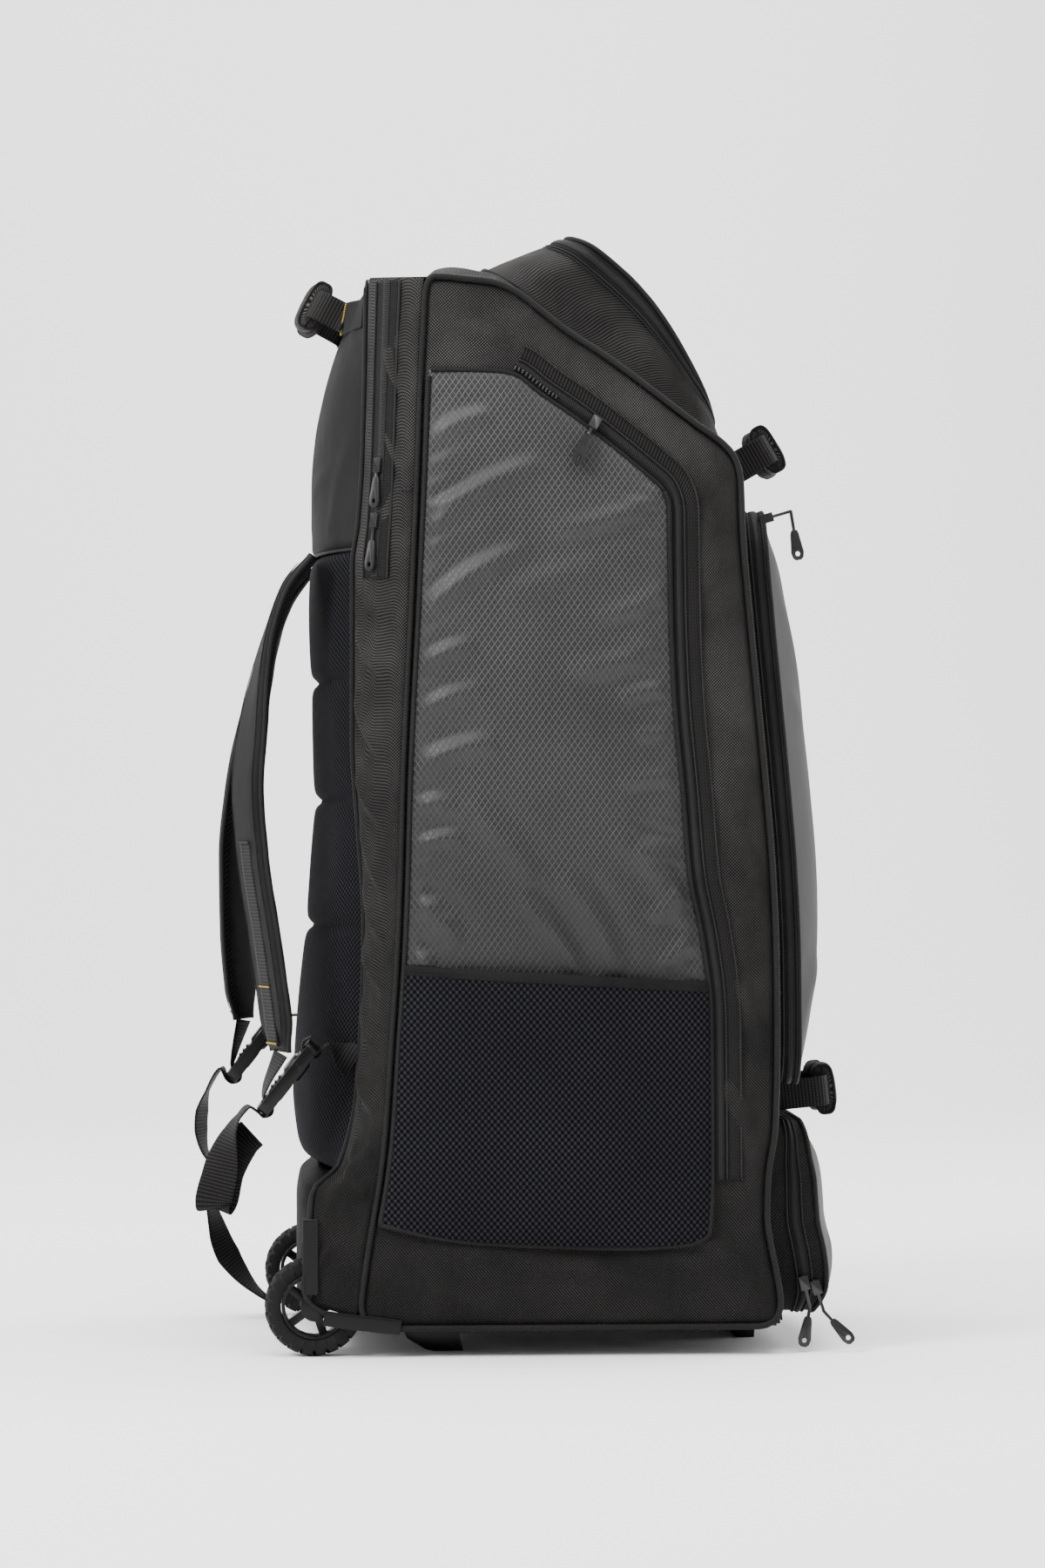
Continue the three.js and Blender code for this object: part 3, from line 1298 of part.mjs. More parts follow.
const PULLS = {
  side_pocket_pull: {
    route: [onZip(24, 19, slider_room), onZip(15, 34, 11), onZip(5, 59, 14)],
    facing: V(0, -1, 0),
  },
  back_zip_pull_upper: {
    route: [onGusset(0.8287, slider_room), onGusset(0.7816, slider_room + 2)],
    facing: corner_out,
  },
  back_zip_pull_lower: {
    route: [onGusset(0.776, slider_room), onGusset(0.7211, slider_room + 2)],
    facing: corner_out,
  },
  front_pocket_pull: {
    route: [
      V(front_slider_x, -front_side, front_slider_z),
      V(front_slider_x + 27, -front_side, front_slider_z + 8),
      V(front_slider_x + 34, -front_side, front_slider_z - 34),
    ],
    facing: V(0, -1, 0),
  },
  shoe_pocket_pull_back: {
    route: [
      V(onShoeZip(shoe_slider_z), -shoe_side, shoe_slider_z),
      V(onShoeZip(shoe_slider_z) + 6, -shoe_side - 1, shoe_slider_z - 26),
      V(onShoeZip(shoe_slider_z), -shoe_side - 3, shoe_slider_z - 60),
    ],
    facing: V(0, -1, 0),
  },
  shoe_pocket_pull_front: {
    route: [
      V(onShoeZip(shoe_slider_z) + 10, -shoe_side + 1.4, shoe_slider_z - 4),
      V(onShoeZip(shoe_slider_z) + 18, -shoe_side - 1, shoe_slider_z - 30),
      V(onShoeZip(shoe_slider_z) + 42, -shoe_side - 8, shoe_slider_z - 56),
    ],
    facing: V(0, -1, 0),
  },
};
for (const [name, pull] of Object.entries(PULLS)) {
  add(name, zipPull(pull), pull_metal);
}

// The origin is put on the ground under the middle of the whole bag
const bounds = new THREE.Box3().setFromObject(bag);
bag.position.x = -(bounds.min.x + bounds.max.x) / 2;
const group = new THREE.Group();
group.add(bag);

export default group;
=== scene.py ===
# %% [markdown]
# # A wheeled cricket kit bag
# The bag is a tall sewn box of black nylon. Its cloth parts are smooth surfaces with folds, so each
# one is worked out as a function of two parameters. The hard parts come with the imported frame.

import bpy
import numpy as np
from mathutils import Matrix, Vector


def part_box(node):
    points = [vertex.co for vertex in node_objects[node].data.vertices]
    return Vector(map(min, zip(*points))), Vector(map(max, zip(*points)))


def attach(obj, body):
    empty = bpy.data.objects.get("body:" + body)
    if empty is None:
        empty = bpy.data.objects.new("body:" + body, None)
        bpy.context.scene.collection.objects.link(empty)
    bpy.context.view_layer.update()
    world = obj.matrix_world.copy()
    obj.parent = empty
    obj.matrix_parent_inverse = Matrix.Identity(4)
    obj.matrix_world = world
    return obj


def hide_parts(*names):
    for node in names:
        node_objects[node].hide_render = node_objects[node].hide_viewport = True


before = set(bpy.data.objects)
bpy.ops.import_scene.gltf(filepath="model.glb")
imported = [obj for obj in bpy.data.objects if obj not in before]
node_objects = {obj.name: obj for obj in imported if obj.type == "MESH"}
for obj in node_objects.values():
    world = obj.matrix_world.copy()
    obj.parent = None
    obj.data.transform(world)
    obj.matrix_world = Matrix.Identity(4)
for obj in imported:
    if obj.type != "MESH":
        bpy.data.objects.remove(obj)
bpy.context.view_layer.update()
SIDES = ((-1, "right"), (1, "left"))
print("nodes:", len(node_objects))

# %% [markdown]
# The part's own sizes are repeated here in millimetres. Its origin is under the middle of the whole
# bag, while the tables count from the bag's own datum, so a wheel's box gives the shift between them.

# %% The body's sizes
base_z = 24.8
body_height = 892.0
half_width = 180.0
back_x = -155.0
body_depth = 352.0
slope_drop = 167.0
top_crown = 28.0
side_crown = 6.0
front_crown = 5.0
rear_half = 131.5
piping_radius = 2.8
seam_inset = 2.3
wheel_x, wheel_y, wheel_z = -187.0, 157.0, 42.5
low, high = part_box("wheel_rim_right")
shift_x = (low.x + high.x) * 500 - wheel_x
print("shift", round(shift_x, 2))

# %% [markdown]
# The shapes come from short tables of shares. Between two rows a cubic runs without overshoot, so
# an outline stays smooth with few rows.

# %% Smooth tables
def smooth(rows, at, column=1):
    """A column of a table at a value of its first column: cubic between rows, never past them."""
    rows = np.array(rows, float)
    x, y = rows[:, 0], rows[:, column]
    h = np.diff(x)
    d = np.diff(y) / h
    slope = np.zeros_like(y)
    same = d[:-1] * d[1:] > 0
    slope[1:-1][same] = 2 / (1 / d[:-1][same] + 1 / d[1:][same])
    slope[0], slope[-1] = d[0], d[-1]
    at = np.clip(np.asarray(at, float), x[0], x[-1])
    i = np.clip(np.searchsorted(x, at) - 1, 0, len(h) - 1)
    t = (at - x[i]) / h[i]
    a, b = 1 + t * t * (2 * t - 3), t * t * (3 - 2 * t)
    c, e = t * (1 - t) ** 2 * h[i], t * t * (t - 1) * h[i]
    return a * y[i] + b * y[i + 1] + c * slope[i] + e * slope[i + 1]


def arch(share, power=4):
    """One in the middle of the share and zero at its two ends."""
    return 1 - np.abs(2 * np.clip(share, 0, 1) - 1) ** power


def ease(a, b, x):
    """Zero below a, one above b, and a smooth rise between them."""
    t = np.clip((x - a) / (b - a), 0, 1)
    return t * t * (3 - 2 * t)


def squarer(wave, power):
    """A sine or cosine with the same sign and its size to a power; under one it gets squarer."""
    return np.sign(wave) * np.abs(wave) ** power


def unit(vectors):
    """Each vector over its own length."""
    return vectors / np.linalg.norm(vectors, axis=-1, keepdims=True)


def walked(line):
    """The distance along a line of points, from zero at its first."""
    step = np.linalg.norm(np.diff(line, axis=0), axis=1)
    return np.concatenate([[0], np.cumsum(step)])


print("smooth(0.5):", float(smooth([(0, 0), (1, 2)], 0.5)))

# %% [markdown]
# Every panel lies on one of a few surfaces of the body: the two seams and the front edge seen from
# the side, the sloping top with its crown, the bulging sides and the front.

# %% The body's surfaces
def spread(first, last, rows, left, right, columns):
    """Two parameters on a grid, each even between its two ends."""
    return np.meshgrid(np.linspace(first, last, rows), np.linspace(left, right, columns), indexing="ij")


SIDE_VIEW = [  # height share, back seam's depth share, front's depth share
    (0.0, 0.014, 1.043), (0.035, 0.024, 1.034), (0.069, 0.036, 1.017), (0.102, 0.05, 1.003),
    (0.144, 0.068, 1.006), (0.186, 0.08, 1.023), (0.269, 0.094, 1.028), (0.352, 0.108, 1.026),
    (0.435, 0.1165, 1.017), (0.517, 0.122, 1.0), (0.6, 0.131, 0.98), (0.683, 0.142, 0.96),
    (0.766, 0.151, 0.943), (0.813, 0.156, 0.94), (0.9, 0.164, 0.94), (1.0, 0.176, 0.94),
]
TOP_EDGE = [  # share of the run forwards, drop share, rise share
    (0.0, 0.0, 0.35), (0.05, 0.0, 0.85), (0.12, 0.01, 1.0), (0.208, 0.024, 0.9),
    (0.279, 0.066, 0.8), (0.361, 0.162, 0.7), (0.442, 0.263, 0.6), (0.584, 0.413, 0.5),
    (0.721, 0.575, 0.42), (0.859, 0.743, 0.34), (0.941, 0.838, 0.28), (0.98, 0.91, 0.2),
    (1.0, 1.0, 0.1),
]
REAR_SEAM = [  # height share, depth share, how far out it has spread to the full width
    (0.0, -0.102, 0.98), (0.105, -0.102, 0.98), (0.13, -0.094, 0.72), (0.152, -0.03, 0.14),
    (0.225, 0.014, 0.01), (0.384, 0.031, 0.0), (0.477, 0.017, 0.0), (0.56, 0.003, 0.0),
    (0.728, 0.003, 0.0), (0.77, 0.017, 0.0), (0.837, 0.028, 0.0), (1.0, 0.037, 0.0),
]


def height_share(z):
    return (z - base_z) / body_height


def seam_x(z):
    return back_x + body_depth * smooth(SIDE_VIEW, height_share(z), 1)


def front_x(z):
    return back_x + body_depth * smooth(SIDE_VIEW, height_share(z), 2)


def rear_x(z):
    return back_x + body_depth * smooth(REAR_SEAM, height_share(z), 1)


def rear_y(z):
    return rear_half + (half_width - rear_half) * smooth(REAR_SEAM, height_share(z), 2)


top_z = base_z + body_height
shoulder_z = top_z - slope_drop
top_back = float(seam_x(top_z))
top_front = float(front_x(shoulder_z))


def edge_z(x):
    share = (x - top_back) / (top_front - top_back)
    return top_z - slope_drop * smooth(TOP_EDGE, share, 1)


def dome_z(x, y):
    share = (x - top_back) / (top_front - top_back)
    return edge_z(x) + top_crown * smooth(TOP_EDGE, share, 2) * (1 - (y / half_width) ** 2)


def side_y(x, z):
    across = (x - seam_x(z)) / (front_x(z) - seam_x(z))
    up = (z - base_z) / (edge_z(x) - base_z)
    return half_width + side_crown * arch(across) * arch(up)


def front_surface(y, z):
    return front_x(z) + front_crown * (1 - (y / half_width) ** 2)


print("top", round(top_z), "shoulder", round(shoulder_z))

# %% [markdown]
# Meshes come from arrays of points. Each one gets a map of how far a point lies along and across
# the cloth, in metres, so that every weave keeps its real pitch however the surface bends.

# %% From points to pieces
def lengths(points, axis):
    """The distance walked along one axis of a grid of points, in millimetres."""
    step = np.linalg.norm(np.diff(points, axis=axis), axis=2)
    pad = [(0, 0), (0, 0)]
    pad[axis] = (1, 0)
    return np.pad(np.cumsum(step, axis=axis), pad)


def make_mesh(name, points, faces, uv, material):
    """A mesh from points in millimetres, its faces and a map in millimetres, both made metres."""
    mesh = bpy.data.meshes.new(name)
    place = (np.asarray(points, float) + [shift_x, 0, 0]) / 1000
    mesh.from_pydata(place.tolist(), [], faces.tolist() if hasattr(faces, "tolist") else faces)
    layer = mesh.uv_layers.new(name="cloth")
    corner = np.zeros(len(mesh.loops), np.int32)
    mesh.loops.foreach_get("vertex_index", corner)
    layer.data.foreach_set("uv", (np.asarray(uv, float)[corner] / 1000).ravel())
    mesh.polygons.foreach_set("use_smooth", np.ones(len(mesh.polygons), bool))
    mesh.materials.append(material)
    mesh.update()
    piece = bpy.data.objects.new(name, mesh)
    bpy.context.scene.collection.objects.link(piece)
    return piece


def solidify(piece, wall):
    """A wall in millimetres that grows inwards from the piece's outside."""
    solid = piece.modifiers.new("wall", "SOLIDIFY")
    solid.thickness = wall / 1000
    solid.offset = -1


def grid_faces(rows, columns, ring=False):
    """Four-sided faces of a grid; a ring also joins its last row to its first."""
    count = rows if ring else rows - 1
    i, j = np.meshgrid(np.arange(count), np.arange(columns - 1), indexing="ij")
    k = (i + 1) % rows
    a, b = i * columns + j, k * columns + j
    return np.stack([a, b, b + 1, a + 1], -1).reshape(-1, 4)


def cloth(name, points, material, wall=1.6, outward=None, ring=False, uv=None):
    """A sheet of cloth through a grid of points, with a wall that grows away from its outside."""
    points = np.asarray(points, float)
    rows, columns = points.shape[:2]
    faces = grid_faces(rows, columns, ring)
    if uv is None:
        along = lengths(points, 0)
        across = lengths(points, 1)
        uv = np.stack([across, along], -1)
    flat = points.reshape(-1, 3)
    a, b, d = flat[faces[:, 0]], flat[faces[:, 1]], flat[faces[:, 3]]
    normal = np.cross(b - a, d - a)
    inside = np.asarray(outward if outward is not None else (20, 0, 460), float)
    away = a - np.broadcast_to(inside, points.shape).reshape(-1, 3)[faces[:, 0]]
    if (normal * away).sum() < 0:
        faces = faces[:, ::-1]
    piece = make_mesh(name, flat, faces, np.asarray(uv).reshape(-1, 2), material)
    if wall:
        solidify(piece, wall)
    return piece


def ring_faces(rows, columns, closed=False):
    """Faces of a grid whose rows are closed rings: capped at both ends, or joined end to end."""
    i, j = np.meshgrid(np.arange(rows if closed else rows - 1), np.arange(columns), indexing="ij")
    k, n = (i + 1) % rows, (j + 1) % columns
    corners = [i * columns + j, k * columns + j, k * columns + n, i * columns + n]
    faces = np.stack(corners, -1).reshape(-1, 4).tolist()
    if not closed:
        faces += [list(range(columns)), list(range((rows - 1) * columns, rows * columns))[::-1]]
    return faces


def tube(name, path, radius, material, sides=10, closed=False):
    """A round cord along a path: circles square to its run, capped at both ends."""
    path = np.asarray(path, float)
    run = np.roll(path, -1, 0) - np.roll(path, 1, 0) if closed else np.gradient(path, axis=0)
    run = unit(run)
    side = unit(np.cross(run, [0.03, 1.0, 0.05]))
    top = np.cross(side, run)
    turn = np.linspace(0, 2 * np.pi, sides, endpoint=False)
    ring = side[:, None] * np.cos(turn)[None, :, None] + top[:, None] * np.sin(turn)[None, :, None]
    points = path[:, None] + radius * ring
    uv = np.stack(np.broadcast_arrays(turn[None] * radius, walked(path)[:, None]), -1)
    faces = ring_faces(len(path), sides, closed)
    piece = make_mesh(name, points.reshape(-1, 3), faces, uv.reshape(-1, 2), material)
    piece.data.flip_normals()
    return piece


# %% [markdown]
# A few pieces are finished by mesh editing: parts are joined into one object, normals are turned
# outwards and points that coincide are welded. Each piece then takes its body.

# %% Finishing a piece
def joined(name, parts):
    """Several pieces made into one object that keeps each part's own material."""
    context = bpy.context
    for other in context.selected_objects:
        other.select_set(False)
    for part in parts:
        context.view_layer.objects.active = part
        for modifier in list(part.modifiers):
            bpy.ops.object.modifier_apply(modifier=modifier.name)
        part.select_set(True)
    context.view_layer.objects.active = parts[0]
    bpy.ops.object.join()
    parts[0].name = name
    return parts[0]


def edited(piece, operator, **settings):
    """Runs one edit-mode operator on the whole of a piece."""
    bpy.ops.object.select_all(action="DESELECT")
    piece.select_set(True)
    bpy.context.view_layer.objects.active = piece
    bpy.ops.object.mode_set(mode="EDIT")
    bpy.ops.mesh.select_all(action="SELECT")
    operator(**settings)
    bpy.ops.object.mode_set(mode="OBJECT")
    return piece


def recalculated(piece):
    """Faces turned outwards."""
    return edited(piece, bpy.ops.mesh.normals_make_consistent, inside=False)


def weld(piece, distance=0.0004):
    """Joins the points that lie on each other along a closed grid's seam and at its pole."""
    return edited(piece, bpy.ops.mesh.remove_doubles, threshold=distance)


def settle(piece, slot, *nodes, body="bag"):
    """The piece rides on its body and stands for its CAD nodes, which it hides; its slot is not used."""
    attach(piece, body)
    if nodes:
        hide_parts(*nodes)
    return piece


print("helpers ready")

# %% [markdown]
# Black cloth only looks like cloth when its weave catches light. One builder makes a weave from the
# cloth's own map: two sets of threads whose crests take turns, as height for a bump and as a share
# for the colour. Finer or coarser cloth only changes the pitch.

# %% Material helpers
class Nodes:
    """A material's node tree with short calls: each maths step returns its output socket."""

    def __init__(self, name, roughness=0.6, metallic=0.0, specular=0.5):
        self.material = bpy.data.materials.new(name)
        self.material.use_nodes = True
        self.tree = self.material.node_tree
        self.shader = self.tree.nodes["Principled BSDF"]
        self.shader.inputs["Roughness"].default_value = roughness
        self.shader.inputs["Metallic"].default_value = metallic
        self.shader.inputs["Specular IOR Level"].default_value = specular

    def node(self, kind, **values):
        made = self.tree.nodes.new(kind)
        for key, value in values.items():
            setattr(made, key, value)
        return made

    def link(self, value, socket):
        if isinstance(value, (int, float)):
            socket.default_value = value
        else:
            self.tree.links.new(value, socket)

    def math(self, operation, a, b=0.0, c=0.0):
        made = self.node("ShaderNodeMath", operation=operation)
        for value, socket in zip((a, b, c), made.inputs):
            self.link(value, socket)
        return made.outputs[0]

    def map(self):
        parts = self.node("ShaderNodeSeparateXYZ")
        self.tree.links.new(self.node("ShaderNodeUVMap", uv_map="cloth").outputs[0], parts.inputs[0])
        return parts.outputs[0], parts.outputs[1]

    def place(self):
        return self.node("ShaderNodeTexCoord").outputs["Object"]

    def noise(self, scale, detail=3.0, stretch=None):
        where = self.place()
        if stretch:
            turned = self.node("ShaderNodeMapping")
            self.tree.links.new(where, turned.inputs[0])
            turned.inputs["Scale"].default_value = stretch
            where = turned.outputs[0]
        made = self.node("ShaderNodeTexNoise")
        self.tree.links.new(where, made.inputs["Vector"])
        made.inputs["Scale"].default_value = scale
        made.inputs["Detail"].default_value = detail
        return made.outputs["Fac"]

    def height(self, low, high, dark, light):
        """A factor that rises with the height above the floor: painted shade, darker towards the ground."""
        parts = self.node("ShaderNodeSeparateXYZ")
        self.tree.links.new(self.place(), parts.inputs[0])
        made = self.node("ShaderNodeMapRange")
        self.tree.links.new(parts.outputs[2], made.inputs["Value"])
        for socket, value in (("From Min", low), ("From Max", high), ("To Min", dark), ("To Max", light)):
            made.inputs[socket].default_value = value
        return made.outputs[0]

    def wave(self, value, pitch):
        """Zero to one and back over each pitch, given in millimetres."""
        turned = self.math("SINE", self.math("MULTIPLY", value, 2000 * np.pi / pitch))
        return self.math("MULTIPLY_ADD", turned, 0.5, 0.5)

    def weave(self, pitch):
        """Two sets of threads whose crests take turns over and under."""
        u, v = self.map()
        a, b = self.wave(u, pitch), self.wave(v, pitch)
        over = self.math("MULTIPLY", a, b)
        under = self.math("MULTIPLY", self.math("SUBTRACT", 1.0, a), self.math("SUBTRACT", 1.0, b))
        return self.math("MAXIMUM", over, under)

    def bump(self, height, distance, strength=1.0, below=None):
        made = self.node("ShaderNodeBump")
        made.inputs["Strength"].default_value = strength
        made.inputs["Distance"].default_value = distance / 1000
        self.tree.links.new(height, made.inputs["Height"])
        if below is not None:
            self.tree.links.new(below, made.inputs["Normal"])
        return made.outputs[0]

    def colour(self, share, dark, light):
        made = self.node("ShaderNodeMix", data_type="RGBA")
        self.link(share, made.inputs["Factor"])
        made.inputs[6].default_value = (*dark, 1)
        made.inputs[7].default_value = (*light, 1)
        self.tree.links.new(made.outputs[2], self.shader.inputs["Base Color"])

    def finish(self, normal=None, roughness=None):
        if normal is not None:
            self.tree.links.new(normal, self.shader.inputs["Normal"])
        if roughness is not None:
            self.tree.links.new(roughness, self.shader.inputs["Roughness"])
        return self.material


def mix_share(m, a, b, share):
    """A number between a and b by a share, for roughness and colour shares."""
    return m.math("MULTIPLY_ADD", share, b - a, a)


# %% [markdown]
# Each finish below is one function: the pattern's height, its colour share, a slow tone over the
# whole piece and the soft dents under the pattern.

# %% Cloth finishes
def ballistic():
    """Coarse basket weave: bright crests on dark thread, with broad soft creases."""
    m = Nodes("ballistic_nylon", roughness=0.6, specular=0.1)
    crest = m.weave(2.7)
    tone = m.noise(14, 4)
    sharp = m.math("POWER", crest, 1.8)
    share = m.math("MULTIPLY", sharp, m.math("MULTIPLY_ADD", tone, 1.9, -0.15))
    # Painted shade: the colour share is scaled down towards the bottom of the bag.
    share = m.math("MULTIPLY", share, m.height(0.05, 0.7, 0.4, 1.0))
    m.colour(share, (0.0004, 0.0004, 0.0004), (0.078, 0.074, 0.071))
    creases = m.bump(m.noise(17, 3, stretch=(1, 1, 0.5)), 14.0, 0.9)
    return m.finish(m.bump(crest, 0.7, 1.0, creases), mix_share(m, 0.78, 0.46, crest))


def ripstop():
    """Satin cloth with a raised diamond lattice, cells 5 mm wide and 8 mm tall."""
    m = Nodes("ripstop_nylon", roughness=0.46, specular=0.32)
    u, v = m.map()
    columns, rows = m.math("MULTIPLY", u, 1000 / 5.4), m.math("MULTIPLY", v, 1000 / 7.8)
    lines = [m.math("PINGPONG", m.math(turn, columns, rows), 0.5) for turn in ("ADD", "SUBTRACT")]
    near = m.math("MINIMUM", *lines)
    ridge = m.math("SUBTRACT", 1.0, m.math("SMOOTH_MIN", m.math("MULTIPLY", near, 9.0), 1.0, 0.2))
    fine = m.weave(1.1)
    tone = m.noise(7, 3)
    share = m.math("MULTIPLY_ADD", ridge, 0.72, m.math("MULTIPLY_ADD", fine, 0.2, 0.1))
    # Painted shade: the colour share is scaled down towards the bottom of the pocket.
    share = m.math("MULTIPLY", share, m.height(0.25, 0.85, 0.45, 1.05))
    m.colour(m.math("MULTIPLY", share, m.math("MULTIPLY_ADD", tone, 1.5, 0.1)),
             (0.0008, 0.0008, 0.001), (0.08, 0.078, 0.078))
    soft = m.bump(m.noise(38, 3, stretch=(1, 1, 0.5)), 1.6, 0.5)
    return m.finish(m.bump(ridge, 0.3, 0.8, soft), mix_share(m, 0.48, 0.6, ridge))


def smooth_cloth():
    """Fine plain weave that reads as an even dark grey."""
    m = Nodes("smooth_nylon", roughness=0.66, specular=0.08)
    fine = m.weave(0.9)
    tone = m.noise(10, 4)
    m.colour(m.math("MULTIPLY", m.math("MULTIPLY_ADD", fine, 0.35, 0.6), tone),
             (0.0008, 0.0008, 0.001), (0.0165, 0.0165, 0.0175))
    soft = m.bump(m.noise(24, 3), 4.0, 0.7)
    return m.finish(m.bump(fine, 0.2, 0.7, soft))


def open_mesh(name, pitch, tint, deep):
    """Knit with staggered holes: two crossed waves, each hole a little taller than wide."""
    m = Nodes(name, roughness=0.85, specular=0.05)
    u, v = m.map()
    across = m.math("MULTIPLY", u, 2000 * np.pi / pitch)
    up = m.math("MULTIPLY", v, 2000 * np.pi / (pitch * 1.15))
    a = m.math("COSINE", m.math("ADD", across, up))
    b = m.math("COSINE", m.math("SUBTRACT", across, up))
    cell = m.math("MULTIPLY_ADD", m.math("ADD", a, b), 0.25, 0.5)
    hole = m.math("SMOOTH_MIN", m.math("MULTIPLY", m.math("SUBTRACT", cell, 0.25), 2.6), 1.0, 0.3)
    thread = m.math("SUBTRACT", 1.0, m.math("MAXIMUM", hole, 0.0))
    m.colour(m.math("MULTIPLY", thread, m.math("MULTIPLY_ADD", m.noise(9, 3), 0.6, 0.6)),
             (0.0015, 0.0015, 0.002), tint)
    return m.finish(m.bump(thread, deep, 0.9))


def coated():
    """Coated cloth: smooth, with shallow dents and a very fine grain."""
    m = Nodes("coated_cloth", roughness=0.52, specular=0.12)
    tone = m.noise(6, 3)
    m.colour(tone, (0.006, 0.006, 0.006), (0.022, 0.021, 0.02))
    soft = m.bump(m.noise(16, 2), 2.0, 0.35)
    return m.finish(m.bump(m.noise(420, 2), 0.1, 0.5, soft))


def ribbed(name, pitch, light, roughness=0.6):
    """Webbing and tape: fine ribs across their length, with thread crests on each."""
    m = Nodes(name, roughness=roughness, specular=0.07)
    u, v = m.map()
    rib = m.wave(v, pitch)
    thread = m.wave(u, pitch * 0.8)
    crest = m.math("MULTIPLY", rib, m.math("MULTIPLY_ADD", thread, 0.5, 0.5))
    m.colour(m.math("MULTIPLY", crest, m.math("MULTIPLY_ADD", m.noise(20, 3), 0.7, 0.55)),
             (0.0025, 0.0025, 0.0025), light)
    return m.finish(m.bump(crest, 0.3, 0.9))


def plastic(name, light, roughness, grain=900, specular=0.32):
    """Moulded plastic: an even black with a fine spark-eroded grain and faint scuffs."""
    m = Nodes(name, roughness=roughness, specular=specular)
    scuff = m.noise(60, 5)
    m.colour(scuff, tuple(0.4 * c for c in light), light)
    worn = mix_share(m, roughness - 0.08, roughness + 0.1, scuff)
    return m.finish(m.bump(m.noise(grain, 2), 0.05, 0.6), worn)


# %% The finishes of this bag
ballistic_nylon = ballistic()
ripstop_nylon = ripstop()
smooth_nylon = smooth_cloth()
pocket_mesh = open_mesh("pocket_mesh", 5.4, (0.019, 0.019, 0.0235), 0.9)
pad_mesh = open_mesh("pad_mesh", 4.2, (0.018, 0.018, 0.022), 0.7)
coated_cloth = coated()
webbing = ribbed("webbing", 3.0, (0.022, 0.021, 0.02))
zip_tape = ribbed("zip_tape", 1.3, (0.022, 0.022, 0.022), 0.66)
zip_coil = ribbed("zip_coil", 1.7, (0.03, 0.03, 0.031), 0.42)
piping_cord = ribbed("piping_cord", 1.1, (0.028, 0.027, 0.0265), 0.5)
gold_thread = ribbed("gold_thread", 1.6, (0.8, 0.5, 0.06), 0.5)
dark_thread = ribbed("dark_thread", 1.2, (0.05, 0.05, 0.05), 0.5)
moulded_plastic = plastic("moulded_plastic", (0.003, 0.003, 0.003), 0.32, 900, 0.18)
kick_plastic = plastic("kick_plastic", (0.003, 0.003, 0.003), 0.55, 60, 0.008)
tyre_rubber = plastic("tyre_rubber", (0.009, 0.009, 0.009), 0.7, 500, 0.16)
pull_metal = Nodes("pull_metal", roughness=0.3, metallic=0.5)
pull_metal.colour(pull_metal.noise(80, 4), (0.006, 0.006, 0.0065), (0.04, 0.04, 0.042))
pull_metal = pull_metal.finish()
print("materials", len(bpy.data.materials))

# %% [markdown]
# Folds decide whether nylon looks sewn or moulded. Each row of a fold table is one crease: where it
# starts and ends on the cloth, how wide it is and how high. All are summed on the whole grid.

# %% Folds
def creases(a, b, rows):
    """Sum of ridges: a bell across each line from start to end, fading to nothing at both ends."""
    lift = np.zeros_like(a, float)
    for a0, b0, a1, b1, width, height in rows:
        run = np.hypot(a1 - a0, b1 - b0)
        ua, ub = (a1 - a0) / run, (b1 - b0) / run
        along = ((a - a0) * ua + (b - b0) * ub) / run
        bow = 0.06 * run * np.sin(np.pi * np.clip(along, 0, 1))
        off = (a - a0) * -ub + (b - b0) * ua - bow
        taper = np.clip(arch(np.clip(along, 0, 1), 2), 0, 1) ** 0.7 * ((along > 0) & (along < 1))
        bell = np.exp(-((off / width) ** 2)) - 0.45 * np.exp(-(((off - 1.6 * width) / width) ** 2))
        lift += height * taper * bell
    return lift


def ripple(a, b, pitch, seed, count=7):
    """Low random swell: a few sine waves of about one pitch in turned directions."""
    draw = np.random.default_rng(seed)
    lift = np.zeros(np.broadcast(a, b).shape)
    for _ in range(count):
        turn = draw.uniform(0, np.pi)
        scale = 2 * np.pi / (pitch * draw.uniform(0.7, 1.5))
        phase = draw.uniform(0, 2 * np.pi)
        lift += np.sin(scale * (a * np.cos(turn) + b * np.sin(turn)) + phase)
    return lift / count


# %% [markdown]
# The side panels carry the bag's outline. Their edges run just inside the round piping, and the
# cloth drops a little towards that seam, as it does where the cord pulls it in.

# %% Side panels, piping and bands
SIDE_FOLDS = [  # along x, z to x, z; width and height
    (170, 700, 190, 560, 7, 1.6), (168, 640, 196, 470, 5, 1.2), (160, 470, 200, 330, 8, 1.6),
    (166, 330, 198, 230, 6, 1.3), (160, 240, 196, 120, 8, 1.8), (-120, 86, 120, 52, 9, 1.6),
    (-60, 60, 180, 74, 7, 1.2), (40, 880, 120, 800, 6, 1.0), (90, 838, 160, 742, 6, 1.2),
    (-88, 880, -20, 860, 7, 1.2), (120, 110, 190, 60, 8, 1.4), (-130, 70, -40, 40, 6, 1.0),
]


def side_panel(side, name):
    up, across = spread(0, 1, 150, 0, 1, 64)
    station = top_back + across * (top_front - top_back)
    z = base_z + seam_inset + up * (edge_z(station) - base_z - 2 * seam_inset)
    x = seam_x(z) + seam_inset + across * (front_x(z) - seam_x(z) - 2 * seam_inset)
    edge = np.minimum(np.minimum(across, 1 - across) * 300, np.minimum(up, 1 - up) * 800)
    lift = 2.4 * creases(x, z, SIDE_FOLDS) + 1.8 * ripple(x, z, 80, 3)
    y = side_y(x, z) + lift * ease(0, 14, edge) - 1.2 * (1 - ease(0, 5, edge))
    points = np.stack([x, side * y, z], -1)
    return cloth(f"side_cloth_{name}", points, ballistic_nylon, outward=(20, 0, 460))


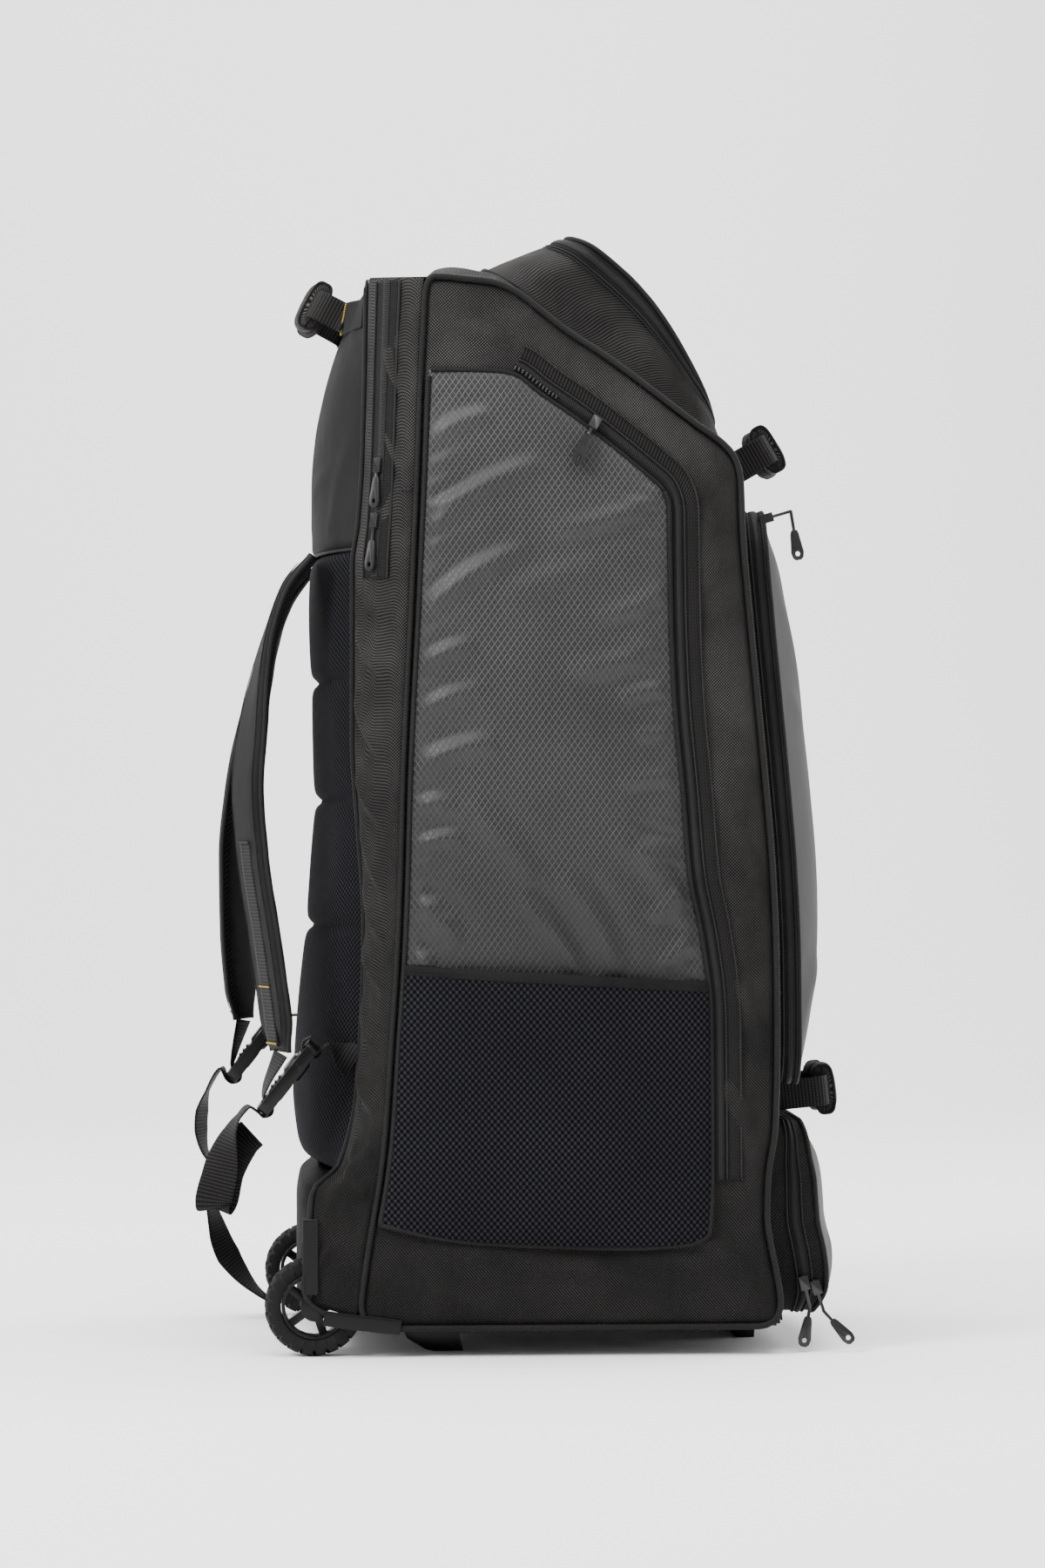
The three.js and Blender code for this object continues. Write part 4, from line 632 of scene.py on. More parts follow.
def seam_path():
    """The closed line of the side seam: up the back, over the top, down the front and along the base."""
    z = np.linspace(base_z + 9, top_z - 5, 120)
    back = np.stack([seam_x(z), z], -1)
    x = np.linspace(top_back + 4, top_front - 0.6, 150)
    over = np.stack([x, edge_z(x)], -1)
    z = np.linspace(shoulder_z - 4, base_z + 9, 110)
    front = np.stack([front_x(z), z], -1)
    x = np.linspace(float(front_x(base_z)) - 9, float(seam_x(base_z)) + 9, 60)
    base = np.stack([x, np.full_like(x, base_z)], -1)
    path = np.concatenate([back, over, front, base])
    for _ in range(3):
        path = (np.roll(path, 1, 0) + 2 * path + np.roll(path, -1, 0)) / 4
    return path


def side_piping(side, name):
    path = seam_path()
    points = np.stack([path[:, 0], np.full(len(path), side * half_width), path[:, 1]], -1)
    return tube(f"piping_{name}", points, piping_radius, piping_cord, closed=True)


TOP_FOLDS = [  # along x, y to x, y
    (-70, -150, 0, -120, 9, 1.5), (20, -150, 90, -168, 7, 1.3), (100, -160, 150, -150, 7, 1.2),
    (-70, 150, 0, 120, 9, 1.5), (20, 150, 90, 168, 7, 1.3), (-40, -60, -50, 60, 8, 1.2),
]


def top_band():
    edge = half_width - seam_inset
    along, y = spread(0, 1, 104, -edge, edge, 84)
    corner = np.clip((half_width - np.abs(y)) / (half_width - rear_half), 0, 1)
    start = top_back - (top_back - rear_x(top_z)) * corner + 3.1
    x = start + along * (top_front - 1 - start)
    z = dome_z(np.clip(x, top_back, top_front), y) + 0.6 * ripple(x, y, 80, 8)
    z += 1.5 * creases(x, y, TOP_FOLDS)
    z -= 5 * (along > 0.999)
    return cloth("top_cloth", np.stack([x, y, z], -1), ballistic_nylon)


def front_band():
    edge = half_width - seam_inset
    z, y = spread(base_z + 5, shoulder_z - 6, 100, -edge, edge, 64)
    x = front_surface(y, z) + 0.8 * ripple(y, z, 100, 5)
    return cloth("front_cloth", np.stack([x, y, z], -1), ballistic_nylon)


for side, name in SIDES:
    settle(side_panel(side, name), "ballistic_nylon", f"side_panel_{name}")
    settle(side_piping(side, name), "piping_cord", f"side_piping_{name}")
settle(top_band(), "ballistic_nylon", "top_panel")
settle(front_band(), "ballistic_nylon", "front_panel")
y = np.linspace(-half_width + 3, half_width - 3, 90)
shoulder = np.stack([np.full(90, top_front - 1.2), y, dome_z(np.full(90, top_front), y) - 3.6], -1)
settle(tube("shoulder_seam", shoulder, 3.4, piping_cord, 10), "piping_cord")
print("body panels made")

# %% [markdown]
# At the back the bag narrows: a gusset slants from each side seam to the padded back. A zip runs
# down each one from the top; the right one carries two sliders.

# %% Back gussets
GUSSET_FOLDS = [  # share across, z to share across, z, with the shares times 100
    (92, 664, 20, 628, 7, 1.8), (95, 624, 15, 578, 8, 2.4), (95, 567, 15, 508, 9, 2.8),
    (95, 502, 20, 452, 8, 2.4), (90, 450, 25, 398, 8, 2.0), (90, 402, 20, 356, 8, 2.4),
    (95, 352, 20, 318, 7, 2.0), (90, 304, 15, 262, 8, 2.4), (95, 253, 15, 212, 8, 2.8),
    (70, 176, 15, 138, 9, 2.6), (20, 176, 85, 120, 9, 2.0), (55, 860, 10, 810, 7, 1.4),
    (40, 100, 95, 75, 6, 1.3), (60, 800, 8, 748, 7, 1.4),
]


def heel_z(x):
    return base_z + 20 * np.clip((back_x + 32 - x) / 76, 0, 1) ** 1.2


def gusset_surface(side, z, share, lift=0.0):
    """Straight lines from the side seam to the rear seam, bent out a little between them."""
    ax, ay = seam_x(z), half_width
    bx, by = rear_x(z), rear_y(z)
    out = np.clip((half_width - by) / (half_width - rear_half), 0, 1)
    bend = 8 * out * 4 * share * (1 - share)
    run = np.hypot(bx - ax, by - ay) + 1e-6
    nx, ny = (by - ay) / run, -(bx - ax) / run
    x = ax + (bx - ax) * share + nx * bend + nx * lift
    y = ay + (by - ay) * share + ny * bend + ny * lift
    return np.stack([x, side * y, z], -1)


def back_gusset(side, name):
    near, far = 0.03, 0.965
    up, share = spread(0, 1, 190, near, far, 32)
    foot = heel_z(back_x - 2 - 44 * share) + 1
    head = dome_z(np.full_like(share, top_back), half_width - share * (half_width - rear_half)) - 1.5
    z = foot + up * (head - foot)
    edge = np.minimum(share - near, far - share) * 70
    lift = 2.2 * creases(share * 100, z, GUSSET_FOLDS) + 2.0 * ripple(share * 70, z, 60, 12)
    points = gusset_surface(side, z, share, lift * ease(0, 9, edge) - 1.0 * (1 - ease(0, 4, edge)))
    return cloth(f"gusset_cloth_{name}", points, ballistic_nylon, outward=(40, 0, 460))


def zip_strip(name, z0, z1, share, side=-1):
    """A reversed coil zip down the gusset: two welts of tape with the ribbed coil between them."""
    gusset_width = 62
    z = np.linspace(z0, z1, 110)
    bow = 0.5 * np.cos(np.linspace(-1.4, 1.4, 9))[None]
    parts = []
    for width, lift, finish in ((24, 0.8, zip_tape), (7.5, 1.5, zip_coil)):
        across = np.linspace(-0.5, 0.5, 9) * width / gusset_width
        points = gusset_surface(side, *np.meshgrid(z, share + across, indexing="ij"), lift + bow)
        parts.append(cloth(name, points, finish, 0.5, outward=(40, 0, 460)))
    for edge in (-12.5, 12.5):
        line = gusset_surface(side, z, np.full_like(z, share + edge / gusset_width), 1.3)
        parts.append(tube(name, line, 1.1, dark_thread, sides=6))
    return joined(name, parts)


for side, name in SIDES:
    settle(back_gusset(side, name), "ballistic_nylon", f"back_gusset_{name}")
    settle(zip_strip(f"back_zip_{name}", 662, top_z - 2, 0.52, side), "zip_tape")
    seam_share = np.linspace(0.06, 0.3, 24)
    seam = gusset_surface(side, np.full(24, 736.0), seam_share, 0.8)
    settle(tube(f"gusset_seam_{name}", seam, 1.1, dark_thread, 6), "ballistic_nylon")
    z = np.linspace(float(heel_z(back_x - 46.0)) + 6, top_z - 4, 120)
    rear = np.stack([rear_x(z), side * rear_y(z), z], -1)
    settle(tube(f"rear_seam_{name}", rear, 2.4, piping_cord, 8), "piping_cord")

# %% [markdown]
# Above the straps lies a smooth dark panel, the bat pocket. It bulges out of the rear seam and is
# closed at its foot by a seam over the back pad.

# %% Back pocket panel
PAD_SWELL = [
    (0.147, 0.5), (0.158, 0.9), (0.175, 1.15), (0.22, 1.45), (0.3, 1.42), (0.384, 1.31),
    (0.43, 1.16), (0.5, 0.95), (0.56, 0.88), (0.69, 1.0), (0.745, 0.95),
]
BAT_SWELL = [
    (0.743, 0.86), (0.78, 1.0), (0.825, 1.05), (0.865, 1.0), (0.9, 0.87), (0.93, 0.7),
    (0.957, 0.5), (0.975, 0.3), (1.0, 0.0),
]
pad_bottom, pad_top = 156.0, 688.0
grooves = [base_z + at * body_height for at in (0.38, 0.503, 0.62)]
BACK_FOLDS = [  # along y, z
    (-110, 700, -40, 715, 9, 1.4), (-100, 760, -20, 730, 9, 1.2), (110, 700, 40, 715, 9, 1.4),
    (-118, 860, -60, 900, 8, 1.2), (118, 860, 60, 900, 8, 1.2), (-120, 790, -90, 700, 8, 1.2),
]


def bat_surface(y, z):
    swell = 40 * smooth(BAT_SWELL, height_share(z))
    return rear_x(z) - swell * (1 - np.abs(y / rear_half) ** 2.4)


def back_pocket():
    reach = rear_half - 0.8
    up, y = spread(0, 1, 92, -reach, reach, 92)
    head = dome_z(np.full_like(y, top_back), y) - 1.4
    foot = pad_top + 1
    z = foot + up * (head - foot)
    x = bat_surface(y, np.minimum(z, top_z)) - creases(y, z, BACK_FOLDS) - 0.7 * ripple(y, z, 90, 21)
    x += 3.5 * (1 - ease(0, 0.03, up))
    return cloth("back_pocket_cloth", np.stack([x, y, z], -1), smooth_nylon)


settle(back_pocket(), "smooth_nylon", "bat_pocket")
piping_y = np.linspace(-rear_half + 2, rear_half - 2, 90)
piping_x = bat_surface(piping_y, np.full(90, pad_top + 3)) + 1.6
foot_line = np.stack([piping_x, piping_y, np.full(90, pad_top + 0.6)], -1)
settle(tube("back_pocket_piping", foot_line, 1.6, piping_cord, sides=8), "piping_cord")

# %% [markdown]
# The back pad is four foam cushions under one knit, parted by sewn channels. A cushion is blown up
# by a short cloth simulation: pressure swells it, its pinned edge stays, and the result is kept.

# %% Back pad
def pad_surface(y, z):
    """The rear seam's plane, swollen towards the wearer, flat in the middle, falling at the sides."""
    swell = 38 * smooth(PAD_SWELL, height_share(z))
    return rear_x(z) - swell * (1 - np.abs(np.clip(y / rear_y(z), -1, 1)) ** 3)


def inflate(piece, pinned, frames, pressure, cap):
    """Runs the cloth solver with gravity off, then caps each point's move and keeps the shape."""
    group = piece.vertex_groups.new(name="held")
    group.add([int(i) for i in np.flatnonzero(pinned)], 1.0, "REPLACE")
    start = np.zeros(len(piece.data.vertices) * 3)
    piece.data.vertices.foreach_get("co", start)
    blown = piece.modifiers.new("cloth", "CLOTH")
    setting = blown.settings
    setting.use_pressure = True
    setting.uniform_pressure_force = pressure
    setting.vertex_group_mass = "held"
    setting.effector_weights.gravity = 0
    setting.tension_stiffness = 6
    setting.compression_stiffness = 3
    setting.quality = 4
    for number in range(1, frames + 1):
        bpy.context.scene.frame_set(number)
    shape = piece.evaluated_get(bpy.context.evaluated_depsgraph_get()).data
    moved = np.zeros_like(start)
    shape.vertices.foreach_get("co", moved)
    piece.modifiers.remove(blown)
    bpy.context.scene.frame_set(1)
    move = (moved - start).reshape(-1, 3)
    size = np.linalg.norm(move, axis=1)[:, None]
    move *= np.minimum(1, cap / np.maximum(size, 1e-9))
    piece.data.vertices.foreach_set("co", (start.reshape(-1, 3) + move).ravel())
    piece.data.update()
    print(piece.name, "swelled by up to", round(1000 * float(np.minimum(size, cap).max()), 1), "mm")


def back_pad():
    z, share = spread(pad_bottom + 1, pad_top - 0.5, 190, -1, 1, 76)
    y = share * (rear_y(z) - 1.4)
    x = pad_surface(y, z) + 2.0
    near = np.min([np.abs(z - g) for g in grooves + [pad_bottom, pad_top]], axis=0)
    inner = 1 - np.abs(share) ** 6
    x += 6.5 * np.exp(-((near / 4.5) ** 2)) * inner
    side = np.abs(share) > 0.975
    piece = cloth("pad_cloth", np.stack([x, y, z], -1), pad_mesh, wall=0)
    held = (near < 3.2) | side
    inflate(piece, held.ravel(), 14, 3.0, 0.004)
    solidify(piece, 6)
    return piece


pad = settle(back_pad(), "pad_mesh", "back_pad")

# %% [markdown]
# Side pockets: satin ripstop, full in the middle and gathered into its seams. The gathers are short
# ridges along the back and front seams; long soft folds cross the lower half.

# %% The side pockets' outline and folds
SIDE_POCKET = [  # share up, back edge's height, front edge's height, front edge's depth
    (0.0, 0.099, 0.079, 0.82), (0.03, 0.115, 0.09, 0.862), (0.1, 0.16, 0.14, 0.868),
    (0.2, 0.24, 0.235, 0.866), (0.27, 0.31, 0.3, 0.864), (0.36, 0.4, 0.37, 0.843),
    (0.45, 0.47, 0.43, 0.813), (0.56, 0.56, 0.51, 0.796), (0.68, 0.66, 0.6, 0.775),
    (0.8, 0.75, 0.68, 0.767), (0.88, 0.82, 0.74, 0.765), (0.95, 0.88, 0.781, 0.764),
    (1.0, 0.911, 0.8, 0.748),
]
POCKET_EDGES = [  # share across, top edge's fall, bottom edge's fall
    (0.0, 0.0, 0.0), (0.15, 0.0, 0.5), (0.28, 0.005, 0.8), (0.36, 0.03, 0.9), (0.48, 0.2, 1.0),
    (0.64, 0.42, 1.1), (0.82, 0.7, 1.15), (1.0, 1.0, 1.0),
]
POCKET_FOLDS = [  # along x, z to x, z; width and height
    (-98, 776, -36, 800, 8, 2.6), (-98, 700, 8, 760, 9, 2.8), (-103, 626, -4, 688, 9, 2.8),
    (116, 737, 10, 700, 9, 2.4), (118, 656, 50, 626, 8, 2.2), (104, 604, 28, 582, 10, 2.6),
    (-108, 498, -32, 522, 9, 3.2), (-104, 585, -50, 604, 8, 2.0), (-107, 545, -45, 566, 8, 2.0),
    (-16, 394, 40, 316, 8, 3.2), (22, 412, 70, 322, 9, 3.0), (66, 450, 138, 356, 12, 3.2),
    (84, 432, 132, 424, 9, 2.4), (-113, 396, -64, 350, 9, 3.2), (-115, 352, -86, 326, 7, 2.8),
    (-110, 462, -66, 470, 7, 2.0), (-112, 432, -60, 440, 7, 2.2), (-60, 470, 0, 400, 11, 1.8),
    (118, 575, 70, 560, 7, 2.0), (120, 535, 84, 528, 6, 2.0), (122, 500, 70, 488, 7, 2.0),
    (128, 400, 96, 372, 8, 2.6), (136, 360, 104, 332, 7, 2.8), (-30, 640, 60, 668, 12, 1.6),
]


def pocket_point(side, up, across, lift):
    """The pocket's outline as a warped grid over the side panel, raised by a lift."""
    top, bottom = smooth(POCKET_EDGES, across, 1), smooth(POCKET_EDGES, across, 2)
    straight = np.clip(np.minimum(up, 1 - up) / 0.12, 0, 1)
    edge = np.where(up < 0.5, bottom, top)
    fall = edge + (across - edge) * straight
    back = base_z + body_height * smooth(SIDE_POCKET, up, 1)
    front = base_z + body_height * smooth(SIDE_POCKET, up, 2)
    z = back + (front - back) * fall
    end = back_x + body_depth * smooth(SIDE_POCKET, up, 3)
    start = seam_x(z) + 6.4
    x = start + (end - start) * across
    return np.stack([x, side * (side_y(x, z) + lift), z], -1)


def pocket_fullness(up, across):
    return 15 * np.sqrt(np.clip(arch(across, 2.2), 0, 1) * np.clip(arch(up, 2.4), 0, 1))


print("pocket folds", len(POCKET_FOLDS))

# %% [markdown]
# The mesh pocket is the lower part of the same outline, pushed out by a pouch that opens at its
# mouth. A zip, a cord all round and a bound mouth close the pair.

# %% Side pockets
def gathers(x, z, across, up):
    """Short ridges at each side seam, one every 20 mm or so, dying out into the pocket."""
    phase = 2.2 * np.sin(z / 61) + 1.3 * np.sin(z / 23)
    back = np.sin(2 * np.pi * (z - 0.5 * x) / 21 + phase) * np.exp(-across / 0.09)
    front = np.sin(2 * np.pi * (z + 0.3 * x) / 19 + 1.7 * phase) * np.exp(-(1 - across) / 0.08)
    hold = ease(0, 0.02, across) * ease(0, 0.02, 1 - across) * ease(0, 0.05, up) * ease(0, 0.05, 1 - up)
    return (1.5 * back + 1.3 * front) * hold


def side_pocket(side, name):
    up, across = spread(0.29, 1, 190, 0, 1, 112)
    flat = pocket_point(side, up, across, 0)
    x, z = flat[..., 0], flat[..., 2]
    fold = 1.5 * creases(x, z, POCKET_FOLDS) + gathers(x, z, across, up) + 0.9 * ripple(x, z, 70, 31)
    rim = np.minimum(np.minimum(across, 1 - across) * 250, (1 - up) * 700)
    lift = 1.2 + pocket_fullness(up, across) + fold * ease(0, 16, rim)
    points = pocket_point(side, up, across, np.maximum(lift, 1.2))
    uv = np.stack([side * x, z], -1)
    return cloth(f"pocket_cloth_{name}", points, ripstop_nylon, uv=uv)


MESH_FOLDS = [(-80, 240, 60, 190, 18, 2.0), (-20, 300, 80, 280, 14, 1.6)]


def mesh_pocket(side, name):
    mouth = 0.3
    up, across = spread(0.0, mouth, 84, 0, 1, 100)
    flat = pocket_point(side, up, across, 0)
    x, z = flat[..., 0], flat[..., 2]
    rim = np.minimum(np.minimum(across, 1 - across) * 250, up * 700)
    pouch = 12 * arch(across, 2) * np.sqrt(np.clip(up / mouth, 0, 1))
    lift = 3.4 + pocket_fullness(up, across) + pouch
    lift += (1.1 * ripple(x, z, 80, 47) + 0.8 * creases(x, z, MESH_FOLDS)) * ease(0, 18, rim)
    points = pocket_point(side, up, across, lift)
    uv = np.stack([side * x, z], -1)
    return cloth(f"mesh_cloth_{name}", points, pocket_mesh, uv=uv), points


def edge_binding(name, line, normal, width=9.0, thick=1.5):
    """A tape folded over an edge: a flattened tube along the mesh pocket's mouth."""
    t = np.linspace(0, 2 * np.pi, 17)[:-1]
    up = np.array([0, 0, 1.0])
    ring = normal[:, None] * np.cos(t)[None, :, None] * thick + up * (np.sin(t)[None, :, None] * width / 2)
    points = line[:, None] + ring
    faces = grid_faces(16, len(line), ring=True)
    points = np.swapaxes(points, 0, 1)
    uv = np.stack(np.broadcast_arrays(t[:, None] * width / 2, walked(line)[None]), -1)
    piece = make_mesh(name, points.reshape(-1, 3), faces, uv.reshape(-1, 2), smooth_nylon)
    return recalculated(piece)


def pocket_outline(side, up_to, lift):
    """The pocket's seam: down the back edge, along the bottom and up the front edge."""
    up = np.linspace(0, up_to, 120)
    back = pocket_point(side, up[::-1], np.zeros_like(up), lift)
    run = np.linspace(0, 1, 90)
    foot = pocket_point(side, np.zeros_like(run), run, lift)
    front = pocket_point(side, up, np.ones_like(up), lift)
    return np.concatenate([back[:-1], foot, front[1:]])


def side_zip(side, name):
    """The zip follows the pocket's top edge and runs down its front edge."""
    run = np.linspace(0.36, 1, 90)
    over = pocket_point(side, np.ones_like(run), run, 0)
    down = np.linspace(1, 0.1, 124)[1:]
    front = pocket_point(side, down, np.ones_like(down), 0)
    line = np.concatenate([over, front])[:, [0, 2]]
    for _ in range(6):
        line[1:-1] = (line[:-2] + 2 * line[1:-1] + line[2:]) / 4
    ahead = unit(np.gradient(line, axis=0))
    out = np.stack([-ahead[:, 1], ahead[:, 0]], -1)

    def on_panel(place, lift, gap=0.0):
        """A place in x and z put on the side panel's cloth, kept behind the front edge by a gap."""
        z = place[..., 1]
        x = np.minimum(place[..., 0], front_x(z) - gap)
        return np.stack([x, side * (side_y(x, z) + lift), z], -1)

    def strip(first, last, lift, finish, thick, bow):
        place = line[:, None] + out[:, None] * np.linspace(first, last, 9)[None, :, None]
        full = lift + bow * np.sin(np.linspace(0, np.pi, 9))[None]
        return cloth(name, on_panel(place, full, 4), finish, thick)

    parts = [strip(2.2, 12.5, 1.4, zip_tape, 0.9, 0.8), strip(5.0, 10.6, 2.2, zip_coil, 0.8, 0.9),
             strip(13.5, 25.5, 0.9, webbing, 0.7, 0.4)]
    for i in range(0, 26, 2):
        tooth = line[i] + out[i] * np.array([[3.2], [6.8]])
        parts.append(tube(name, on_panel(tooth, 3.4), 0.9, pull_metal, sides=6))
    for reach, radius, lift, finish in ((0.2, 1.9, 2.2, piping_cord), (13.0, 0.8, 1.9, dark_thread),
                                        (25.4, 0.9, 1.5, dark_thread)):
        parts.append(tube(name, on_panel(line + out * reach, lift, 3), radius, finish, sides=8))
    return joined(f"pocket_zip_{name}", parts)


for side, name in SIDES:
    settle(side_pocket(side, name), "ripstop_nylon", f"side_pocket_{name}")
    mesh_piece, mesh_points = mesh_pocket(side, name)
    settle(mesh_piece, "pocket_mesh", f"mesh_pocket_{name}")
    mouth = mesh_points[-1]
    face = np.tile([0.0, side, 0.0], (len(mouth), 1))
    settle(edge_binding(f"mesh_binding_{name}", mouth, face), "webbing")
    cord = pocket_outline(side, 0.99, 2.4)
    settle(tube(f"pocket_piping_{name}", cord, 2.6, piping_cord, sides=8), "piping_cord")
    run = np.linspace(0.01, 0.37, 40)
    head = pocket_point(side, np.ones_like(run), run, 2.0)
    settle(tube(f"pocket_head_{name}", head, 2.0, piping_cord, 8), "piping_cord")
    settle(side_zip(side, name), "zip_tape", f"side_pocket_zip_{name}")
print("side pockets made")

# %% [markdown]
# Three pockets stand off the front: the helmet pocket on the slope, the tall front pocket and the
# shoe pocket. Each is a wall round a rounded outline, a zip along that wall and a full coated face.

# %% Helper for round corners
def rounded_ring(width, height, corner, count):
    """Points evenly round a rectangle with round corners, as offsets from its middle."""
    t = np.linspace(0, 2 * np.pi, 4001)[:-1]
    c, s = np.cos(t), np.sin(t)
    u = np.sign(c) * (width / 2 - corner) + corner * c
    v = np.sign(s) * (height / 2 - corner) + corner * s
    line = np.stack([u, v], -1)
    loop = np.concatenate([line, line[:1]])
    run = walked(loop)
    at = np.linspace(0, run[-1], count, endpoint=False)
    return np.stack([np.interp(at, run, loop[:, 0]), np.interp(at, run, loop[:, 1])], -1)


def cover(name, ring_at, material, outward, rings=40, wall=1.6):
    """A disc of rings from the edge to the middle, closed at its centre by a last small ring."""
    share = np.linspace(1, 0, rings) ** 0.8
    points = np.stack([ring_at(s) for s in share])
    points = np.concatenate([points, points[:, :1]], axis=1)
    piece = cloth(name, points, material, wall=0, outward=outward, uv=points[..., 1:])
    weld(piece)
    solidify(piece, wall)
    return piece


print("round corners ready")

# %% [markdown]
# The front pocket and the shoe pocket are the same three forms with their own depth. A depth table
# lets the shoe pocket swell in the middle and sink at its head and foot.

# %% Front and shoe pockets
SHOE_DEPTH = [(0.0, 0.68), (0.15, 0.98), (0.35, 1.08), (0.7, 0.98), (0.88, 0.75), (1.0, 0.58)]
pocket_corner = 42.0
seat = 1.3


def pocket_parts(name, width, low_z, high_z, depth_at, crown, zip_span, folds):
    """The wall with its seams, the zip on it and the face over it."""
    z_mid = (low_z + high_z) / 2
    centre = (float(front_x(z_mid)), 0, z_mid)
    first, last = zip_span
    quarter = 0.25 * (last - first)

    def wall_at(share, lift=0.0):
        """A ring round the pocket at a share of its depth, lifted off the wall."""
        height = high_z - low_z + 2 * lift
        ring = rounded_ring(width + 2 * lift, height, pocket_corner + lift, 180)
        y, z = ring[:, 0], z_mid + ring[:, 1]
        depth = depth_at(np.clip(z, low_z, high_z)) * share
        return np.stack([front_surface(y, z) + seat + depth, y, z], -1)

    wall = np.stack([wall_at(share) for share in np.linspace(0, 1, 14)], 1)
    wall_piece = cloth(f"{name}_wall_cloth", wall, ballistic_nylon, 1.6, centre, ring=True)
    parts = []
    for a, b, lift, finish in ((first, last, 0.7, zip_tape),
                               (first + quarter, last - quarter, 1.5, zip_coil)):
        bow = 0.5 * np.sin(np.pi * np.arange(7) / 6)
        strip = np.stack([wall_at(share, lift + up) for share, up in zip(np.linspace(a, b, 7), bow)], 1)
        parts.append(cloth(name, strip, finish, 0.5, centre, ring=True))
    for share in (first - 0.03, last + 0.03):
        parts.append(tube(name, wall_at(share, 0.9), 1.0, dark_thread, 6, True))
    zip_piece = joined(f"{name}_zip_band", parts)
    rim = wall_at(1.0, 0.3) + [1.6, 0, 0]
    rim_piece = tube(f"{name}_rim_piping", rim, 2.2, piping_cord, 8, True)

    def ring_at(share):
        ring = rounded_ring(width - 3, high_z - low_z - 3, pocket_corner, 180) * share
        y, z = ring[:, 0], z_mid + ring[:, 1]
        full = crown * (1 - share ** 2.4)
        lift = (creases(y, z, folds) + 0.9 * ripple(y, z, 120, 61)) * ease(1.0, 0.9, share)
        return np.stack([front_surface(y, z) + depth_at(z) + seat + 2.2 + full + lift, y, z], -1)

    face = cover(f"{name}_face_cloth", ring_at, coated_cloth, centre)
    settle(wall_piece, "ballistic_nylon", f"{name}_wall")
    settle(zip_piece, "zip_tape", f"{name}_zip")
    settle(rim_piece, "piping_cord")
    settle(face, "coated_cloth", f"{name}_face")


FRONT_FOLDS = [  # along y, z to y, z
    (-140, 690, -60, 640, 14, 2.0), (140, 680, 70, 650, 14, 1.8), (-145, 300, -70, 330, 14, 1.8),
    (145, 300, 60, 340, 14, 2.0), (-140, 560, -80, 540, 12, 1.4), (140, 480, 90, 470, 12, 1.4),
]
SHOE_FOLDS = [(-120, 170, -40, 150, 10, 1.6), (120, 60, 40, 80, 10, 1.6), (-130, 60, -60, 90, 10, 1.4)]


def front_depth(z):
    return np.full_like(np.asarray(z, float), 18.0)


def shoe_depth(z):
    return 40.0 * smooth(SHOE_DEPTH, (z - 31) / 164)


pocket_parts("front_pocket", 312, 229, 722, front_depth, 30, (0.35, 0.95), FRONT_FOLDS)
pocket_parts("shoe_pocket", 306, 31, 195, shoe_depth, 15, (0.45, 0.7), SHOE_FOLDS)

print("front and shoe pockets made")

# %% [markdown]
# The helmet pocket sits on the slope, so it has its own axes along and out of it. Its wall runs from
# the dome to the lid's edge, which falls towards the front.

# %% Helmet pocket
HELMET_EDGE = [  # share forwards, share of the height
    (0.0, 0.97), (0.12, 1.0), (0.3, 0.97), (0.45, 0.9), (0.6, 0.78), (0.75, 0.62), (0.88, 0.46),
    (1.0, 0.3),
]
helmet_length, helmet_width, helmet_height = 250.0, 262.0, 83.0
back_lean, front_lean, side_lean = 30.0, 26.0, 10.0
start = np.array([top_back + 55, 0, float(edge_z(top_back + 55))])
end = np.array([top_front - 8, 0, float(edge_z(top_front - 8))])
slope_run = unit(end - start)
slope_up = np.array([-slope_run[2], 0, slope_run[0]])


def helmet_foot(ring):
    x = start[0] + slope_run[0] * (ring[:, 0] + helmet_length / 2)
    return np.stack([x, ring[:, 1], dome_z(x, ring[:, 1]) + 1.5], -1)


def helmet_edge(ring, share=1.0):
    """A point over the slope: along it by the ring's length, out of it by the edge table."""
    place = ring[:, 0] / helmet_length * share + 0.5
    along = back_lean + (helmet_length - back_lean - front_lean) * place
    y = ring[:, 1] / helmet_width * share * (helmet_width - 2 * side_lean)
    rise = helmet_height * smooth(HELMET_EDGE, place) + 8 * (1 - share ** 2.4)
    point = start + slope_run * along[:, None] + slope_up * rise[:, None]
    point[:, 1] = y
    return point


helmet_ring = rounded_ring(helmet_length, helmet_width, pocket_corner, 208)
helmet_centre = start + slope_run * 125 + slope_up * 30


def helmet_band(first, last, count, lift, finish, wall, name, bow, slack=0.0):
    """A band of the wall between two shares of its height, bowed out and slack between its seams."""
    foot, top = helmet_foot(helmet_ring), helmet_edge(helmet_ring)
    share = np.linspace(first, last, count)[None, :, None]
    points = foot[:, None] + (top - foot)[:, None] * share
    ahead = np.roll(points, -1, 0) - np.roll(points, 1, 0)
    normal = unit(np.cross(ahead, (top - foot)[:, None]))
    sign = np.sign((normal * (points - helmet_centre)).sum())
    full = lift + bow * np.sin(np.pi * np.linspace(0, 1, count))
    if slack:
        x, y, z = np.moveaxis(points, -1, 0)
        sag = arch(np.broadcast_to(share[..., 0], x.shape), 2)
        full = (full + slack * ripple(x + y, z, 46, 71)) * sag
    points = points + sign * normal * np.broadcast_to(full, points.shape[:2])[..., None]
    return cloth(name, points, finish, wall, helmet_centre, ring=True)


def helmet_cord(name, share, lift, radius, finish):
    foot, top = helmet_foot(helmet_ring), helmet_edge(helmet_ring)
    out = (top + foot) / 2 - helmet_centre
    out = unit(out - slope_up * (out @ slope_up)[:, None])
    return tube(name, foot + (top - foot) * share + out * lift, radius, finish, 8, True)


